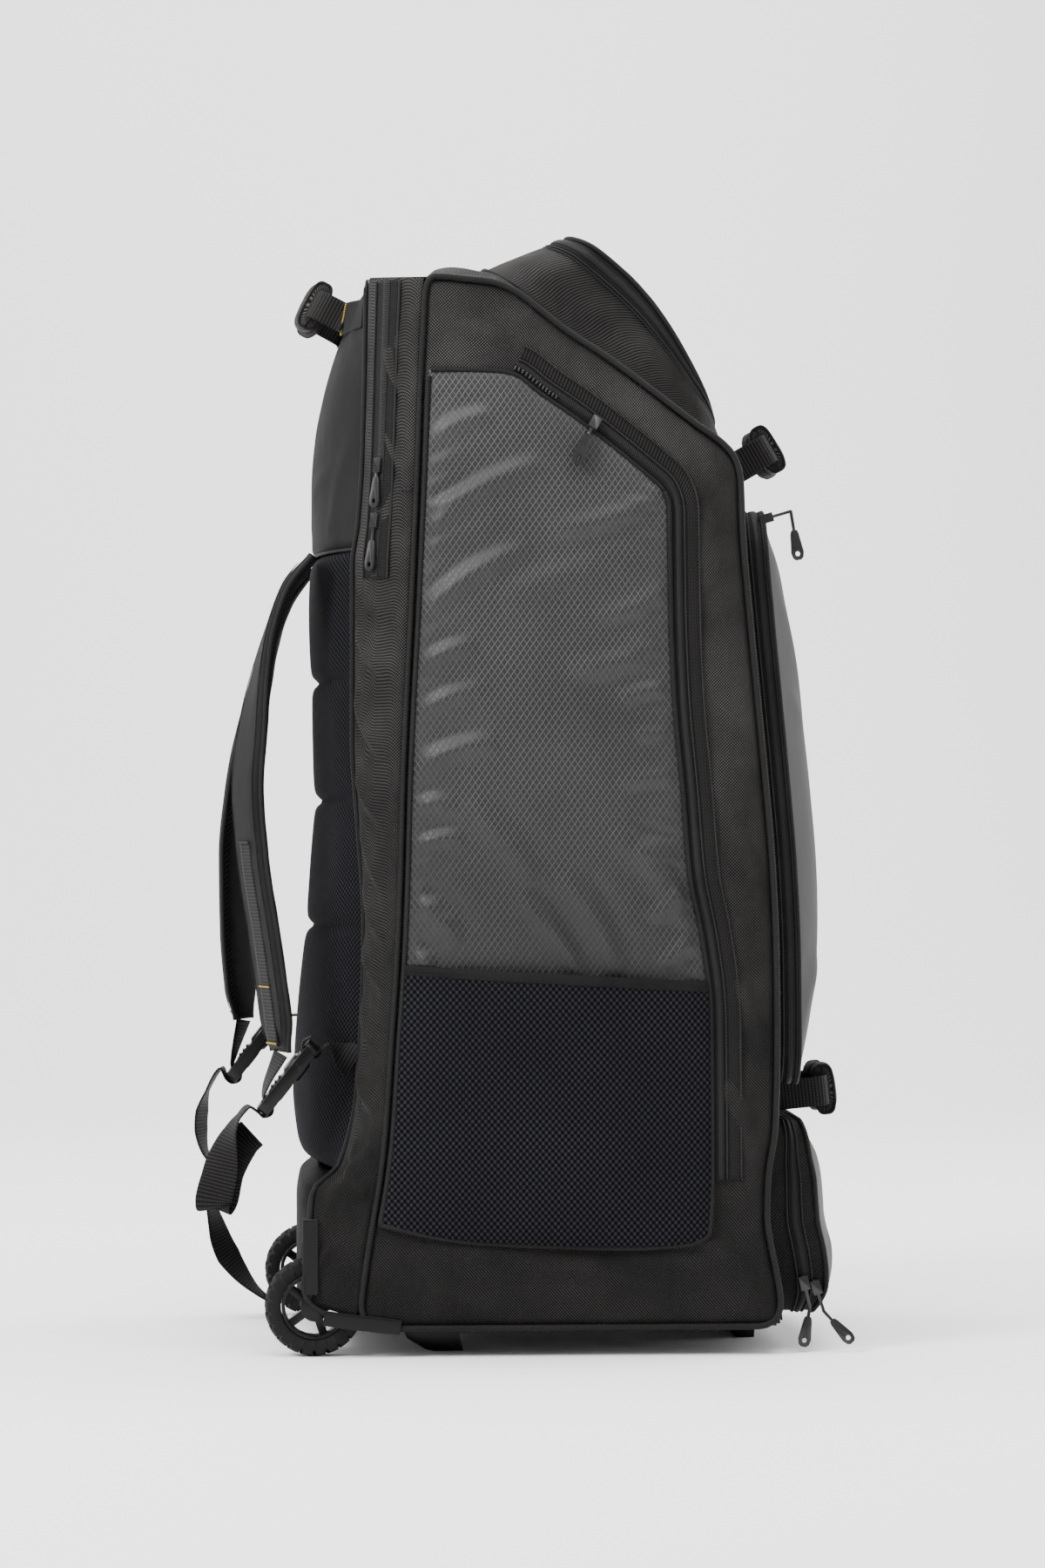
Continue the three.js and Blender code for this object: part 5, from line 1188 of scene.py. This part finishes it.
helmet_wall = helmet_band(0, 1, 30, 0.0, ballistic_nylon, 1.6, "helmet_wall_cloth", 2.0, slack=1.6)
settle(helmet_wall, "ballistic_nylon", "helmet_pocket_wall")
parts = [
    helmet_band(0.79, 0.96, 9, 1.6, zip_tape, 0.5, "helmet_zip", 0.6),
    helmet_band(0.83, 0.92, 7, 2.5, zip_coil, 0.5, "helmet_coil", 0.6),
    helmet_cord("helmet_stitch", 0.775, 1.8, 0.9, dark_thread),
    helmet_cord("helmet_stitch", 0.735, 1.4, 0.7, dark_thread),
]
settle(joined("helmet_zip_band", parts), "zip_tape", "helmet_pocket_zip")


def lid_ring(share):
    edge = helmet_edge(helmet_ring, share)
    swell = 0.8 * ripple(edge[:, 0], edge[:, 1], 80, 77)[:, None] * float(ease(1, 0.85, share))
    return edge + slope_up * (1.6 + swell)


lid = cover("helmet_lid_cloth", lid_ring, coated_cloth, helmet_centre)
settle(lid, "coated_cloth", "helmet_pocket_lid")
rim = helmet_edge(helmet_ring)
settle(tube("helmet_rim_piping", rim + slope_up * 0.8, 2.3, piping_cord, 8, True), "piping_cord")
foot = helmet_foot(helmet_ring)
foot[:, 2] += 0.6
settle(tube("helmet_foot_piping", foot, 1.8, piping_cord, 8, True), "piping_cord")
print("front pockets made")

# %% [markdown]
# The shoulder straps are foam pads between smooth nylon and knit. A pad is a rounded section swept
# down the strap's line; its long edges carry a bound seam, and stitched lines run beside them.

# %% Shoulder straps
STRAP_LINE = {  # share of the drop down, share of the drop out
    "right": [(0.0, 0.0), (0.066, 0.05), (0.186, 0.09), (0.314, 0.114), (0.453, 0.127), (0.59, 0.117),
              (0.743, 0.094), (0.9, 0.072), (0.97, 0.063)],
    "left": [(0.0, 0.0), (0.066, 0.05), (0.186, 0.09), (0.314, 0.118), (0.453, 0.144), (0.59, 0.157),
             (0.743, 0.155), (0.88, 0.144), (0.93, 0.139)],
}
strap_drop, strap_top, strap_stand, strap_width = 440.0, 684.0, 11.0, 64.0


strap_rows = 160


def strap_line(side):
    rows = STRAP_LINE["right" if side < 0 else "left"]
    foot = side * 93.0
    begin = float(pad_surface(np.array(foot), np.array(strap_top))) - strap_stand
    down = np.linspace(0, rows[-1][0], strap_rows)
    y = foot + side * 34 * ease(0.3, 1, down)
    return np.stack([begin - smooth(rows, down) * strap_drop, y, strap_top - down * strap_drop], -1)


def strap_frame(side):
    """The strap's line with its directions across and out; it turns 20 degrees on its way down."""
    line = strap_line(side)
    tilt = np.radians(20) * ease(0.08, 0.42, np.linspace(0, 1, strap_rows))
    across = np.stack([side * np.sin(tilt), np.cos(tilt), np.zeros(strap_rows)], -1)
    out = np.cross(unit(np.gradient(line, axis=0)), across)
    return line, across, -out * np.sign(out[:, :1])


def strap_taper(share):
    """The width's share: a little narrower at the root and much narrower at the foot."""
    return 1 - 0.14 * (1 - ease(0, 0.05, share)) - 0.34 * ease(0.93, 1.0, share)


def strap_shell(name, side, turn0, turn1, finish):
    """Part of the pad's rounded section between two angles, swept down the strap."""
    line, across, out = strap_frame(side)
    share = np.linspace(0, 1, strap_rows)
    t = np.linspace(turn0, turn1, 40)
    flat, thick = squarer(np.cos(t), 0.45), squarer(np.sin(t), 0.8)
    w = strap_width / 2 * strap_taper(share)
    h = 6.3 * (1 - 0.35 * ease(0.93, 1, share) - 0.3 * (1 - ease(0, 0.06, share)))
    h *= np.sqrt(np.clip(1 - np.clip((share - 0.975) / 0.025, 0, 1) ** 2, 0.01, 1))
    swell = ripple(share[:, None] * strap_drop, flat[None] * 32, 34, 83 + side)
    wrinkle = 0.5 * swell * np.abs(thick)[None]
    points = (line[:, None] + across[:, None] * (flat[None] * w[:, None])[..., None]
              + out[:, None] * (thick[None] * h[:, None] + wrinkle)[..., None])
    return cloth(name, points, finish, 0.8, outward=line[:, None])


def strap(side, name):
    """The outer cloth, the knit lining, a bound seam at each edge and the stitch beside it."""
    parts = [strap_shell(name, side, 0, np.pi, smooth_nylon),
             strap_shell(name, side, np.pi, 2 * np.pi, pad_mesh)]
    line, across, out = strap_frame(side)
    reach = strap_width / 2 * strap_taper(np.linspace(0, 1, strap_rows))[:, None]
    for edge in (-1, 1):
        seam = line + across * edge * (reach + 0.4)
        parts.append(tube(name, seam, 2.1, piping_cord, 8))
        stitch = line + across * edge * (reach - 7) + out * 5.9
        parts.append(tube(name, stitch[4:-4], 0.45, dark_thread, 5))
    return joined(f"shoulder_pad_{name}", parts)


for side, name in SIDES:
    pad = settle(strap(side, name), "smooth_nylon", f"shoulder_strap_{name}")
    line, across, out = strap_frame(side)
    rows = np.arange(92, 158)
    middle = line[rows] + out[rows] * 6.6
    reach = np.linspace(-1, 1, 7)[None, :, None] * 13
    points = middle[:, None] + across[rows][:, None] * reach
    parts = [cloth("strap_web_top", points, webbing, 1.1, outward=line[rows][:, None])]
    for at in (0, 46, 64):
        row = middle[at] + across[rows[at]] * np.linspace(-12, 12, 20)[:, None] + out[rows[at]] * 0.9
        finish = gold_thread if (at and side < 0) else dark_thread
        parts.append(tube("bar_tack", row, 0.8, finish, 6))
    settle(joined(f"strap_overlay_{name}", parts), "webbing")
print("straps made")

# %% [markdown]
# Webbing is a flat ribbon with soft edges. It is carried along a smooth line through a few points,
# and turns about that line as it hangs. Both loose tails end where the photograph shows them end.

# %% Buckles and webbing
def through(points, count):
    """A smooth curve through a few points: cubic pieces whose slopes come from the neighbours."""
    points = np.asarray(points, float)
    step = np.maximum(np.linalg.norm(np.diff(points, axis=0), axis=1), 1e-6) ** 0.5
    knot = np.concatenate([[0], np.cumsum(step)])
    at = np.linspace(0, knot[-1], count)
    slope = np.gradient(points, knot, axis=0)
    i = np.clip(np.searchsorted(knot, at) - 1, 0, len(knot) - 2)
    h = (knot[i + 1] - knot[i])[:, None]
    t = (at[:, None] - knot[i][:, None]) / h
    a, b = 1 + t * t * (2 * t - 3), t * t * (3 - 2 * t)
    c, e = t * (1 - t) ** 2 * h, t * t * (t - 1) * h
    return a * points[i] + b * points[i + 1] + c * slope[i] + e * slope[i + 1]


def ribbon(name, line, across, width, thick, finish):
    """A flat strap: a flattened oval section carried along a line, square to it."""
    run = unit(np.gradient(line, axis=0))
    across = unit(across - run * (across * run).sum(1)[:, None])
    out = np.cross(run, across)
    t = np.linspace(0, 2 * np.pi, 24, endpoint=False)
    w = squarer(np.cos(t), 0.3) * width / 2
    h = squarer(np.sin(t), 0.7) * thick / 2
    points = line[:, None] + across[:, None] * w[None, :, None] + out[:, None] * h[None, :, None]
    uv = np.stack(np.broadcast_arrays(w[None] + 40, walked(line)[:, None]), -1)
    faces = ring_faces(len(line), 24)
    return recalculated(make_mesh(name, points.reshape(-1, 3), faces, uv.reshape(-1, 2), finish))


buckle_length, buckle_bar, buckle_slot, buckle_thick = 74.0, 6.0, 7.0, 11.0
angle = np.radians(52)
buckle_run = np.array([-np.cos(angle), 0, -np.sin(angle)])
buckle_out = np.array([-np.sin(angle), 0, np.cos(angle)])
slot_place = buckle_length / 2 - buckle_bar - buckle_slot / 2
buckle_middle = {-1: np.array([-209.0, -132, 235]), 1: np.array([-238.0, 132, 249])}
TAIL = {  # from the buckle's slot: along x, along y, up, turn in degrees
    -1: [(-17, 0, -3, 6), (-26, 0, -12, 20), (-33, 0, -25, 42), (-38, 0, -42, 66), (-42, 0, -62, 80),
         (-47, 1, -84, 80), (-46, 4, -90, 80), (-42, 7, -84, 80), (-36, 8, -58, 78),
         (-24, 8, -36, 72), (-14, 8, -26, 66)],
    1: [(-14, 0, 2, 5), (-24, 0, -12, 20), (-31, 0, -32, 20), (-33, 0, -52, 10), (-30, 0, -72, 0),
        (-22, 0, -90, 10), (-24, 0, -118, 20), (-19, 0, -141, 34), (-11, 0, -164, 44), (4, 0, -187, 30),
        (19, 0, -203, 12), (30, 0, -211, 4)],
}


def on_buckle(side, along, out):
    return buckle_middle[side] + buckle_run * along + buckle_out * out


def strap_tail(side, name):
    """Out of the strap's foot, through the buckle's lower slot, round its bar, then hanging free."""
    foot = strap_line(side)[-1] + [0, 0, -1.2]
    foot[1] = buckle_middle[side][1]
    half, slot = buckle_thick / 2, slot_place
    round_bar = [
        foot, on_buckle(side, slot - 9, half + 5), on_buckle(side, slot - 0.5, half),
        on_buckle(side, slot, -half + 1), on_buckle(side, slot + 5.4, -half - 1.8),
        on_buckle(side, slot + 11.4, -half + 2.4), on_buckle(side, slot + 11.4, half - 2.4),
    ]
    eye = on_buckle(side, slot, 0)
    loose = [eye + [x, side * -y, z] for x, y, z, _ in TAIL[side]]
    twist = np.radians([24, 12, 3, 0, 0, 3, 8] + [row[3] for row in TAIL[side]])
    count = 260
    line = through(np.array(round_bar + loose), count)
    turn = np.interp(np.linspace(0, len(twist) - 1, count), np.arange(len(twist)), twist)
    across = np.stack([side * np.sin(turn), np.cos(turn), np.zeros(count)], -1)
    return ribbon(f"tail_web_{name}", line, across, 32, 2.3, webbing)


def strap_web(side, name):
    """Flat along the seam at its root, turning to lie square in the buckle's upper slot."""
    half = buckle_thick / 2
    z = buckle_middle[side][2] + 14
    root = np.array([float(rear_x(np.array(z))) - 2.5, side * (rear_half + 1.5), z])
    near = on_buckle(side, -slot_place - 16, -half - 3.4)
    rows = [root, root + (near - root) * 0.45, near]
    rows += [on_buckle(side, -slot_place - along, rise) for along, rise in (
        (1, -half - 2.6), (0, half), (5, half + 3.4), (13, half + 0.6))]
    twist = np.radians([90, 55, 0, 0, 0, 0, 0])
    line = through(rows, 90)
    turn = np.interp(np.linspace(0, len(rows) - 1, 90), np.arange(len(rows)), twist)
    across = np.stack([np.zeros(90), np.cos(turn), -side * np.sin(turn)], -1)
    return ribbon(f"seam_web_{name}", line, across, 32, 1.8, webbing)


print("webbing ready")

# %% [markdown]
# The hard parts keep the CAD's own solids with their edges rounded. A buckle also gets its shell,
# prongs and ribs as small rounded blocks on the buckle's own axes.

# %% Hard parts from the frame, with rounded edges
def softened(node, name, material, width):
    """A copy of a CAD solid: its loose corners are merged and edges over 35 degrees rounded."""
    mesh = node_objects[node].data.copy()
    piece = bpy.data.objects.new(name, mesh)
    bpy.context.scene.collection.objects.link(piece)
    weld(piece, 0.00002)
    mesh.materials.clear()
    mesh.materials.append(material)
    for polygon in mesh.polygons:
        polygon.material_index = 0
    bevel = piece.modifiers.new("edges", "BEVEL")
    bevel.width = width / 1000
    bevel.segments = 2
    bevel.limit_method = "ANGLE"
    bevel.angle_limit = np.radians(35)
    mesh.polygons.foreach_set("use_smooth", np.ones(len(mesh.polygons), bool))
    mesh.set_sharp_from_angle(angle=np.radians(50))
    return piece


def moulded_block(name, origin, axes, size, material, edge=1.0, taper=1.0):
    """A rounded block from a rounded outline: two bevelled rings and flat ends, on its own axes."""
    ring = rounded_ring(size[0], size[1], min(size[0], size[1]) * 0.3, 40)
    rows = []
    for level, inset in ((-0.5, edge), (-0.5, 0), (0.5, 0), (0.5, edge)):
        depth = level * size[2] + (0 if inset else -np.sign(level) * edge)
        along = ring[:, 0] * (1 - 2 * inset / size[0])
        narrowed = 1 + (taper - 1) * (ring[:, 0] / size[0] + 0.5)
        widths = ring[:, 1] * (1 - 2 * inset / size[1]) * narrowed
        rows.append(np.outer(along, axes[0]) + np.outer(widths, axes[1]) + depth * axes[2])
    points = np.stack(rows, 1) + origin
    faces = grid_faces(40, 4, ring=True).tolist()
    faces += [[i * 4 for i in range(40)], [i * 4 + 3 for i in range(40)][::-1]]
    piece = make_mesh(name, points.reshape(-1, 3), faces, np.zeros((160, 2)), material)
    return recalculated(piece)


def buckle(side, name):
    """A side-release buckle: the slotted plate, the raised shell, two side prongs and the ribs."""
    axes = (buckle_run, np.array([0, 1.0, 0]), buckle_out)
    middle = buckle_middle[side]
    parts = [softened(f"strap_buckle_{name}", "buckle_plate", moulded_plastic, 1.4)]
    for along, size in ((-11.6, (21, 45, 15.5)), (10.6, (22, 40, 12.5))):
        parts.append(moulded_block("shell", middle + buckle_run * along, axes, size, moulded_plastic, 2.4))
    for lean in (-1, 1):
        place = middle + buckle_run * -10 + [0, lean * 20.5, 0]
        parts.append(moulded_block("prong", place, axes, (14, 7, 9), moulded_plastic, 1.6, 0.7))
    for row in (4, 9, 14):
        place = middle + buckle_run * row + buckle_out * 6.6
        parts.append(moulded_block("rib", place, axes, (2.4, 24, 2.2), moulded_plastic, 0.6))
    return joined(f"side_release_buckle_{name}", parts)


for side, name in SIDES:
    settle(strap_tail(side, name), "webbing", f"strap_tail_{name}")
    settle(strap_web(side, name), "webbing", f"strap_web_{name}")
    settle(buckle(side, name), "moulded_plastic", f"strap_buckle_{name}")

# %% [markdown]
# Each grab handle is a loop of webbing with a padded wrap round its grip. The wrap is a soft rounded
# box, pinched by two seams.

# %% Grab handles
HANDLES = {  # place on the body, height, lean in degrees, reach, lift
    "top_handle": ("back", top_z - 23.8, 152, 32, 5),
    "front_handle_upper": ("shoulder", shoulder_z + 12.2, 30, 47, 1),
    "front_handle_lower": ("front", 212.0, 6, 55, 3),
}


def handle(name):
    """A loop of webbing out of the body, with the wrap round its grip and the wrap's two seams."""
    face, z, lean, reach, lift = HANDLES[name]
    wrap_length = 70
    turn = np.radians(lean)
    out = np.array([np.cos(turn), 0, np.sin(turn)])
    up = np.array([-out[2], 0, out[0]])
    y, at = np.array(54.0), np.array(z)
    x = {"back": lambda: bat_surface(y, at), "front": lambda: front_surface(y, at),
         "shoulder": lambda: np.array(top_front)}[face]()
    origin = np.array([float(x), 0, z]) + out * lift
    run = [(-68, 0), (-56, 0.4), (-52.5, 3), (-50, reach - 10), (-46, reach - 3), (-38, reach)]
    path = run + [(-y, r) for y, r in run[::-1]]
    line = through([origin + out * r + [0, y, 0] for y, r in path], 160)
    web = ribbon(f"{name}_strap", line, np.tile(up, (160, 1)), 26, 1.8, webbing)
    middle = origin + out * reach
    t = np.linspace(0, 2 * np.pi, 64, endpoint=False)
    share, t = np.meshgrid(np.linspace(-0.5, 0.5, 70), t, indexing="ij")
    close = ease(0.5, 0.455, np.abs(share))
    pinch = 1 - 0.07 * np.exp(-(((np.abs(share) - 0.17) / 0.03) ** 2))
    w = 22 * squarer(np.cos(t), 0.7) * (0.5 + 0.5 * close) * pinch
    h = 10.2 * squarer(np.sin(t), 0.8) * (0.3 + 0.7 * close) * pinch
    wrinkle = 1.5 * ripple(share * wrap_length, t * 12, 24, 91)
    bend = 5.0 * np.cos(np.pi * share)
    points = (middle + share[..., None] * wrap_length * np.array([0, 1.0, 0])
              + up * w[..., None] + out * (h + wrinkle + bend - 3.5)[..., None])
    uv = np.stack([t * 14, share * wrap_length], -1).reshape(-1, 2)
    sleeve = make_mesh(f"{name}_wrap", points.reshape(-1, 3), ring_faces(*share.shape), uv, ballistic_nylon)
    parts = [recalculated(sleeve)]
    for edge in (-0.455, 0.455):
        t = np.linspace(0, 2 * np.pi, 60, endpoint=False)
        w, h = 21.5 * squarer(np.cos(t), 0.55), 8.4 * squarer(np.sin(t), 0.6)
        ring = middle + np.array([0, edge * wrap_length, 0]) + np.outer(w, up) + np.outer(h - 1.6, out)
        parts.append(tube("wrap_edge", ring, 1.3, piping_cord, 6, True))
    if name == "top_handle":
        for side in (-1, 1):
            tab_y, tab_z = spread(side * 58, side * 126, 24, 880, 908, 10)
            stand = ease(92, 66, np.abs(tab_y)) * (2 + 8 * (tab_z - 880) / 28)
            tab = np.stack([bat_surface(tab_y, tab_z) - 1.6 - stand, tab_y, tab_z], -1)
            parts.append(cloth("tab", tab, smooth_nylon, 1.2))
            parts.append(tube("tab_stitch", tab[1] - [0.4, 0, 0], 0.8, gold_thread, 6))
    settle(web, "webbing", f"{name}_web")
    wrap = settle(joined(f"{name}_wrap", parts), "ballistic_nylon", f"{name}_sleeve")


for name in HANDLES:
    handle(name)
print("handles made")

# %% [markdown]
# The kick plate is one glossy sheet between the wheels, cut away where they turn. Grid lines lie on
# the cut's edges, so leaving out the cells inside it keeps those edges straight.

# %% Kick plate
def kick_plate():
    inner, outer, top = 139.4, 178, 93.0
    y = np.concatenate([np.linspace(-outer, -inner, 12), np.linspace(-inner, inner, 64)[1:-1],
                        np.linspace(inner, outer, 12)])
    low = float(heel_z(np.array(float(rear_x(np.array(base_z)))))) + 0.5
    z = np.concatenate([np.linspace(low, top, 24), np.linspace(top, pad_bottom - 0.5, 26)[1:]])
    zz, yy = np.meshgrid(z, y, indexing="ij")
    share = yy / outer
    y_place = share * (rear_y(zz) - 1.4)
    x = rear_x(zz) - 10 * (1 - share ** 4) + 0.4 * ripple(yy, zz, 60, 101)
    points = np.stack([x, np.where(zz > top, y_place, yy), zz], -1)
    faces = grid_faces(len(z), len(y))
    centre = points.reshape(-1, 3)[faces].mean(1)
    keep = ~((np.abs(centre[:, 1]) > inner) & (centre[:, 2] < top))
    points = points.reshape(-1, 3)
    piece = make_mesh("kick_sheet", points, faces[keep][:, ::-1], points[:, 1:], kick_plastic)
    if piece.data.polygons[0].normal.x > 0:
        piece.data.flip_normals()
    solidify(piece, 2.5)
    return piece


settle(kick_plate(), "kick_plastic", "kick_plate")
print("kick plate made")

# %% [markdown]
# The tyres carry an off-road tread: staggered blocks with open shoulders. Their height over the
# carcass is a product of two square-edged waves, one round the tyre and one across it.

# %% Wheels
def tyre(side, name):
    """A ring section turned about the axle, its tread raised in blocks."""
    blocks, radius, half, row_edge = 22, 42.3, 11.8, 4.4
    bead_radius, bead_y = 28.4, 9.6
    turn = np.linspace(0, 2 * np.pi, blocks * 16, endpoint=False)
    across = half * np.sin(np.pi * (np.linspace(0, 1, 35) - 0.5))
    crown = radius - 2.6 * np.abs(across / half) ** 3
    t, a = np.meshgrid(turn, across, indexing="ij")
    around = t * blocks / (2 * np.pi)
    edge_row = np.abs(((around + 0.5 * (a > 0)) % 1) - 0.5) * 2
    middle_row = np.abs(((around + 0.25) % 1) - 0.5) * 2
    lug = np.where(np.abs(a) > row_edge, ease(0.18, 0.34, edge_row), ease(0.2, 0.36, middle_row))
    groove = ease(0.6, 1.8, np.abs(np.abs(a) - row_edge))
    r = crown[None] - 3.0 * (1 - lug * groove)
    outer = np.stack([r * np.cos(t), a, r * np.sin(t)], -1)

    def flank(edge, sign):
        """The side wall from the tread's edge down to the bead, bulging by a sine."""
        steps = np.linspace(0, 1, 9)[1:]
        start_r = np.hypot(edge[..., 0], edge[..., 2])
        wall_r = start_r + (bead_radius - start_r) * steps[None]
        wall_y = edge[..., 1] + (sign * bead_y - edge[..., 1]) * steps[None]
        wall_y = wall_y + sign * np.sin(np.pi * steps)[None]
        wall_t = turn[:, None]
        return np.stack([wall_r * np.cos(wall_t), wall_y, wall_r * np.sin(wall_t)], -1)

    points = np.concatenate([flank(outer[:, :1], -1)[:, ::-1], outer, flank(outer[:, -1:], 1)], axis=1)
    faces = ring_faces(*points.shape[:2], closed=True)
    points = points.reshape(-1, 3) + [wheel_x, side * wheel_y, wheel_z]
    return recalculated(make_mesh(f"tread_{name}", points, faces, points[:, [0, 2]], tyre_rubber))


GUARDS = {  # x and z down the strip, and how far it stands off the side
    "back_guard": ([(-190.5, 118), (-190.5, 95), (-190.5, 70), (-190.2, 54)], 1.6),
    "base_guard": ([(-179, 34.5), (-160, 31.5), (-135, 28.5), (-114, 26)], 3.2),
}
HEEL = [(-196, 70), (-195.5, 56), (-189, 45), (-176, 37)]
for side, name in SIDES:
    settle(tyre(side, name), "tyre_rubber", f"wheel_tyre_{name}", body=f"wheel_{name}")
    for node, made, width, body in (
        ("wheel_rim", "spoked_rim", 0.8, f"wheel_{name}"), ("wheel_housing", "wheel_arch", 1.0, "bag"),
        ("skid", "runner", 1.4, "bag"),
    ):
        hard = softened(f"{node}_{name}", f"{made}_{name}", moulded_plastic, width)
        settle(hard, "moulded_plastic", f"{node}_{name}", body=body)
    for node, (rows, stand) in GUARDS.items():
        guard = through([(x, side * (half_width + stand), z) for x, z in rows], 40)
        flat = np.gradient(guard, axis=0)[:, [2, 1, 0]] * [-1, 0, 1]
        strip = ribbon(f"{node}_strip_{name}", guard, flat, 13, 1.8, moulded_plastic)
        settle(strip, "moulded_plastic", f"{node}_{name}")
    curve = through([(x, side * (half_width + 0.6), z) for x, z in HEEL], 40)
    settle(tube(f"heel_piping_{name}", curve, 2.4, piping_cord, 8), "piping_cord")
settle(softened("front_foot", "front_bumper", moulded_plastic, 1.4), "moulded_plastic", "front_foot")
settle(softened("base_panel", "base_board", moulded_plastic, 0.8), "moulded_plastic", "base_panel")
for node in ("side_pocket_pull", "back_zip_pull_upper", "back_zip_pull_lower", "front_pocket_pull",
             "shoe_pocket_pull_back", "shoe_pocket_pull_front"):
    pull = softened(node, f"{node}_detail", pull_metal, 0.5)
    if node == "front_pocket_pull":
        pull.data.transform(Matrix.Translation((0.008, 0.02, 0.034)))
    settle(pull, "pull_metal", node)
print("wheels, guards and pulls made")

# %% [markdown]
# The set is a pale floor that curves up into a wall, with one broad lamp above and softer ones at
# both sides, so black cloth shows its folds by long gentle highlights.

# %% Floor, lights and camera
def backdrop():
    """A floor swept up into a wall by a quarter circle, as one smooth sheet."""
    floor_end, radius, height = 3.0, 2.0, 7.0
    turn = np.linspace(0, np.pi / 2, 24)
    y = np.concatenate([[-8.0], floor_end + radius * np.sin(turn), [floor_end + radius]])
    z = np.concatenate([[0.0], radius * (1 - np.cos(turn)), [height]])
    x = np.linspace(-9, 9, 3)
    grid = np.broadcast_arrays(x[None], y[:, None], z[:, None])
    points = np.stack(grid, -1) * 1000 - [shift_x, 0, 0]
    m = Nodes("floor_paint", roughness=0.85, specular=0.2)
    m.colour(m.noise(2.0, 2), (0.93, 0.93, 0.93), (0.95, 0.95, 0.95))
    return cloth("backdrop", points, m.finish(), 0, outward=(0, 0, -50000))


backdrop()


def lamp(name, where, aim, size, power, tall=None):
    """A soft rectangular lamp at a place, turned towards its aim, its sizes in metres."""
    data = bpy.data.lights.new(name, "AREA")
    data.shape = "RECTANGLE"
    data.size = size
    data.size_y = tall or size
    data.energy = power
    made = bpy.data.objects.new(name, data)
    made.location = where
    made.rotation_euler = (Vector(aim) - Vector(where)).to_track_quat("-Z", "Y").to_euler()
    bpy.context.scene.collection.objects.link(made)


lamp("key", (-2.4, -1.9, 2.6), (0, 0, 0.6), 1.1, 170)
lamp("top", (0, -0.4, 3.4), (0, 0, 0), 3.2, 230)
lamp("wall", (0, 2.6, 3.4), (0, 5, 1.3), 2.4, 115)
lamp("fill", (2.8, -2.8, 2.2), (0, 0, 0.6), 2.0, 30)
lamp("rim", (3.0, 1.0, 1.6), (0.2, 0, 0.5), 1.6, 110, tall=2.6)
lamp("back", (-2.6, 1.4, 1.8), (-0.2, 0, 0.5), 1.4, 50, tall=2.4)
world = bpy.data.worlds.new("studio")
bpy.context.scene.world = world
world.use_nodes = True
world.node_tree.nodes["Background"].inputs["Color"].default_value = (1, 1, 1, 1)
world.node_tree.nodes["Background"].inputs["Strength"].default_value = 0.5

print("floor and lamps made")

# %% [markdown]
# The camera stands level in front of the right side. Its lens and its rise are counted in the
# photograph's pixels, whose height is 1800.

# %% Camera
picture_height, focal, rise = 1800, 4909, 59.5
azimuth, distance, eye_height = np.radians(3.37), 3.81, 0.4425
camera_data = bpy.data.cameras.new("camera")
camera_data.sensor_width = 36
camera_data.lens = focal / picture_height * camera_data.sensor_width
camera_data.shift_y = rise / picture_height
camera = bpy.data.objects.new("camera", camera_data)
camera.location = (-distance * np.sin(azimuth) + shift_x / 1000, -distance * np.cos(azimuth), eye_height)
camera.rotation_euler = (np.pi / 2, 0, -azimuth)
bpy.context.scene.collection.objects.link(camera)
bpy.context.scene.camera = camera
print("lens", round(camera_data.lens, 1))
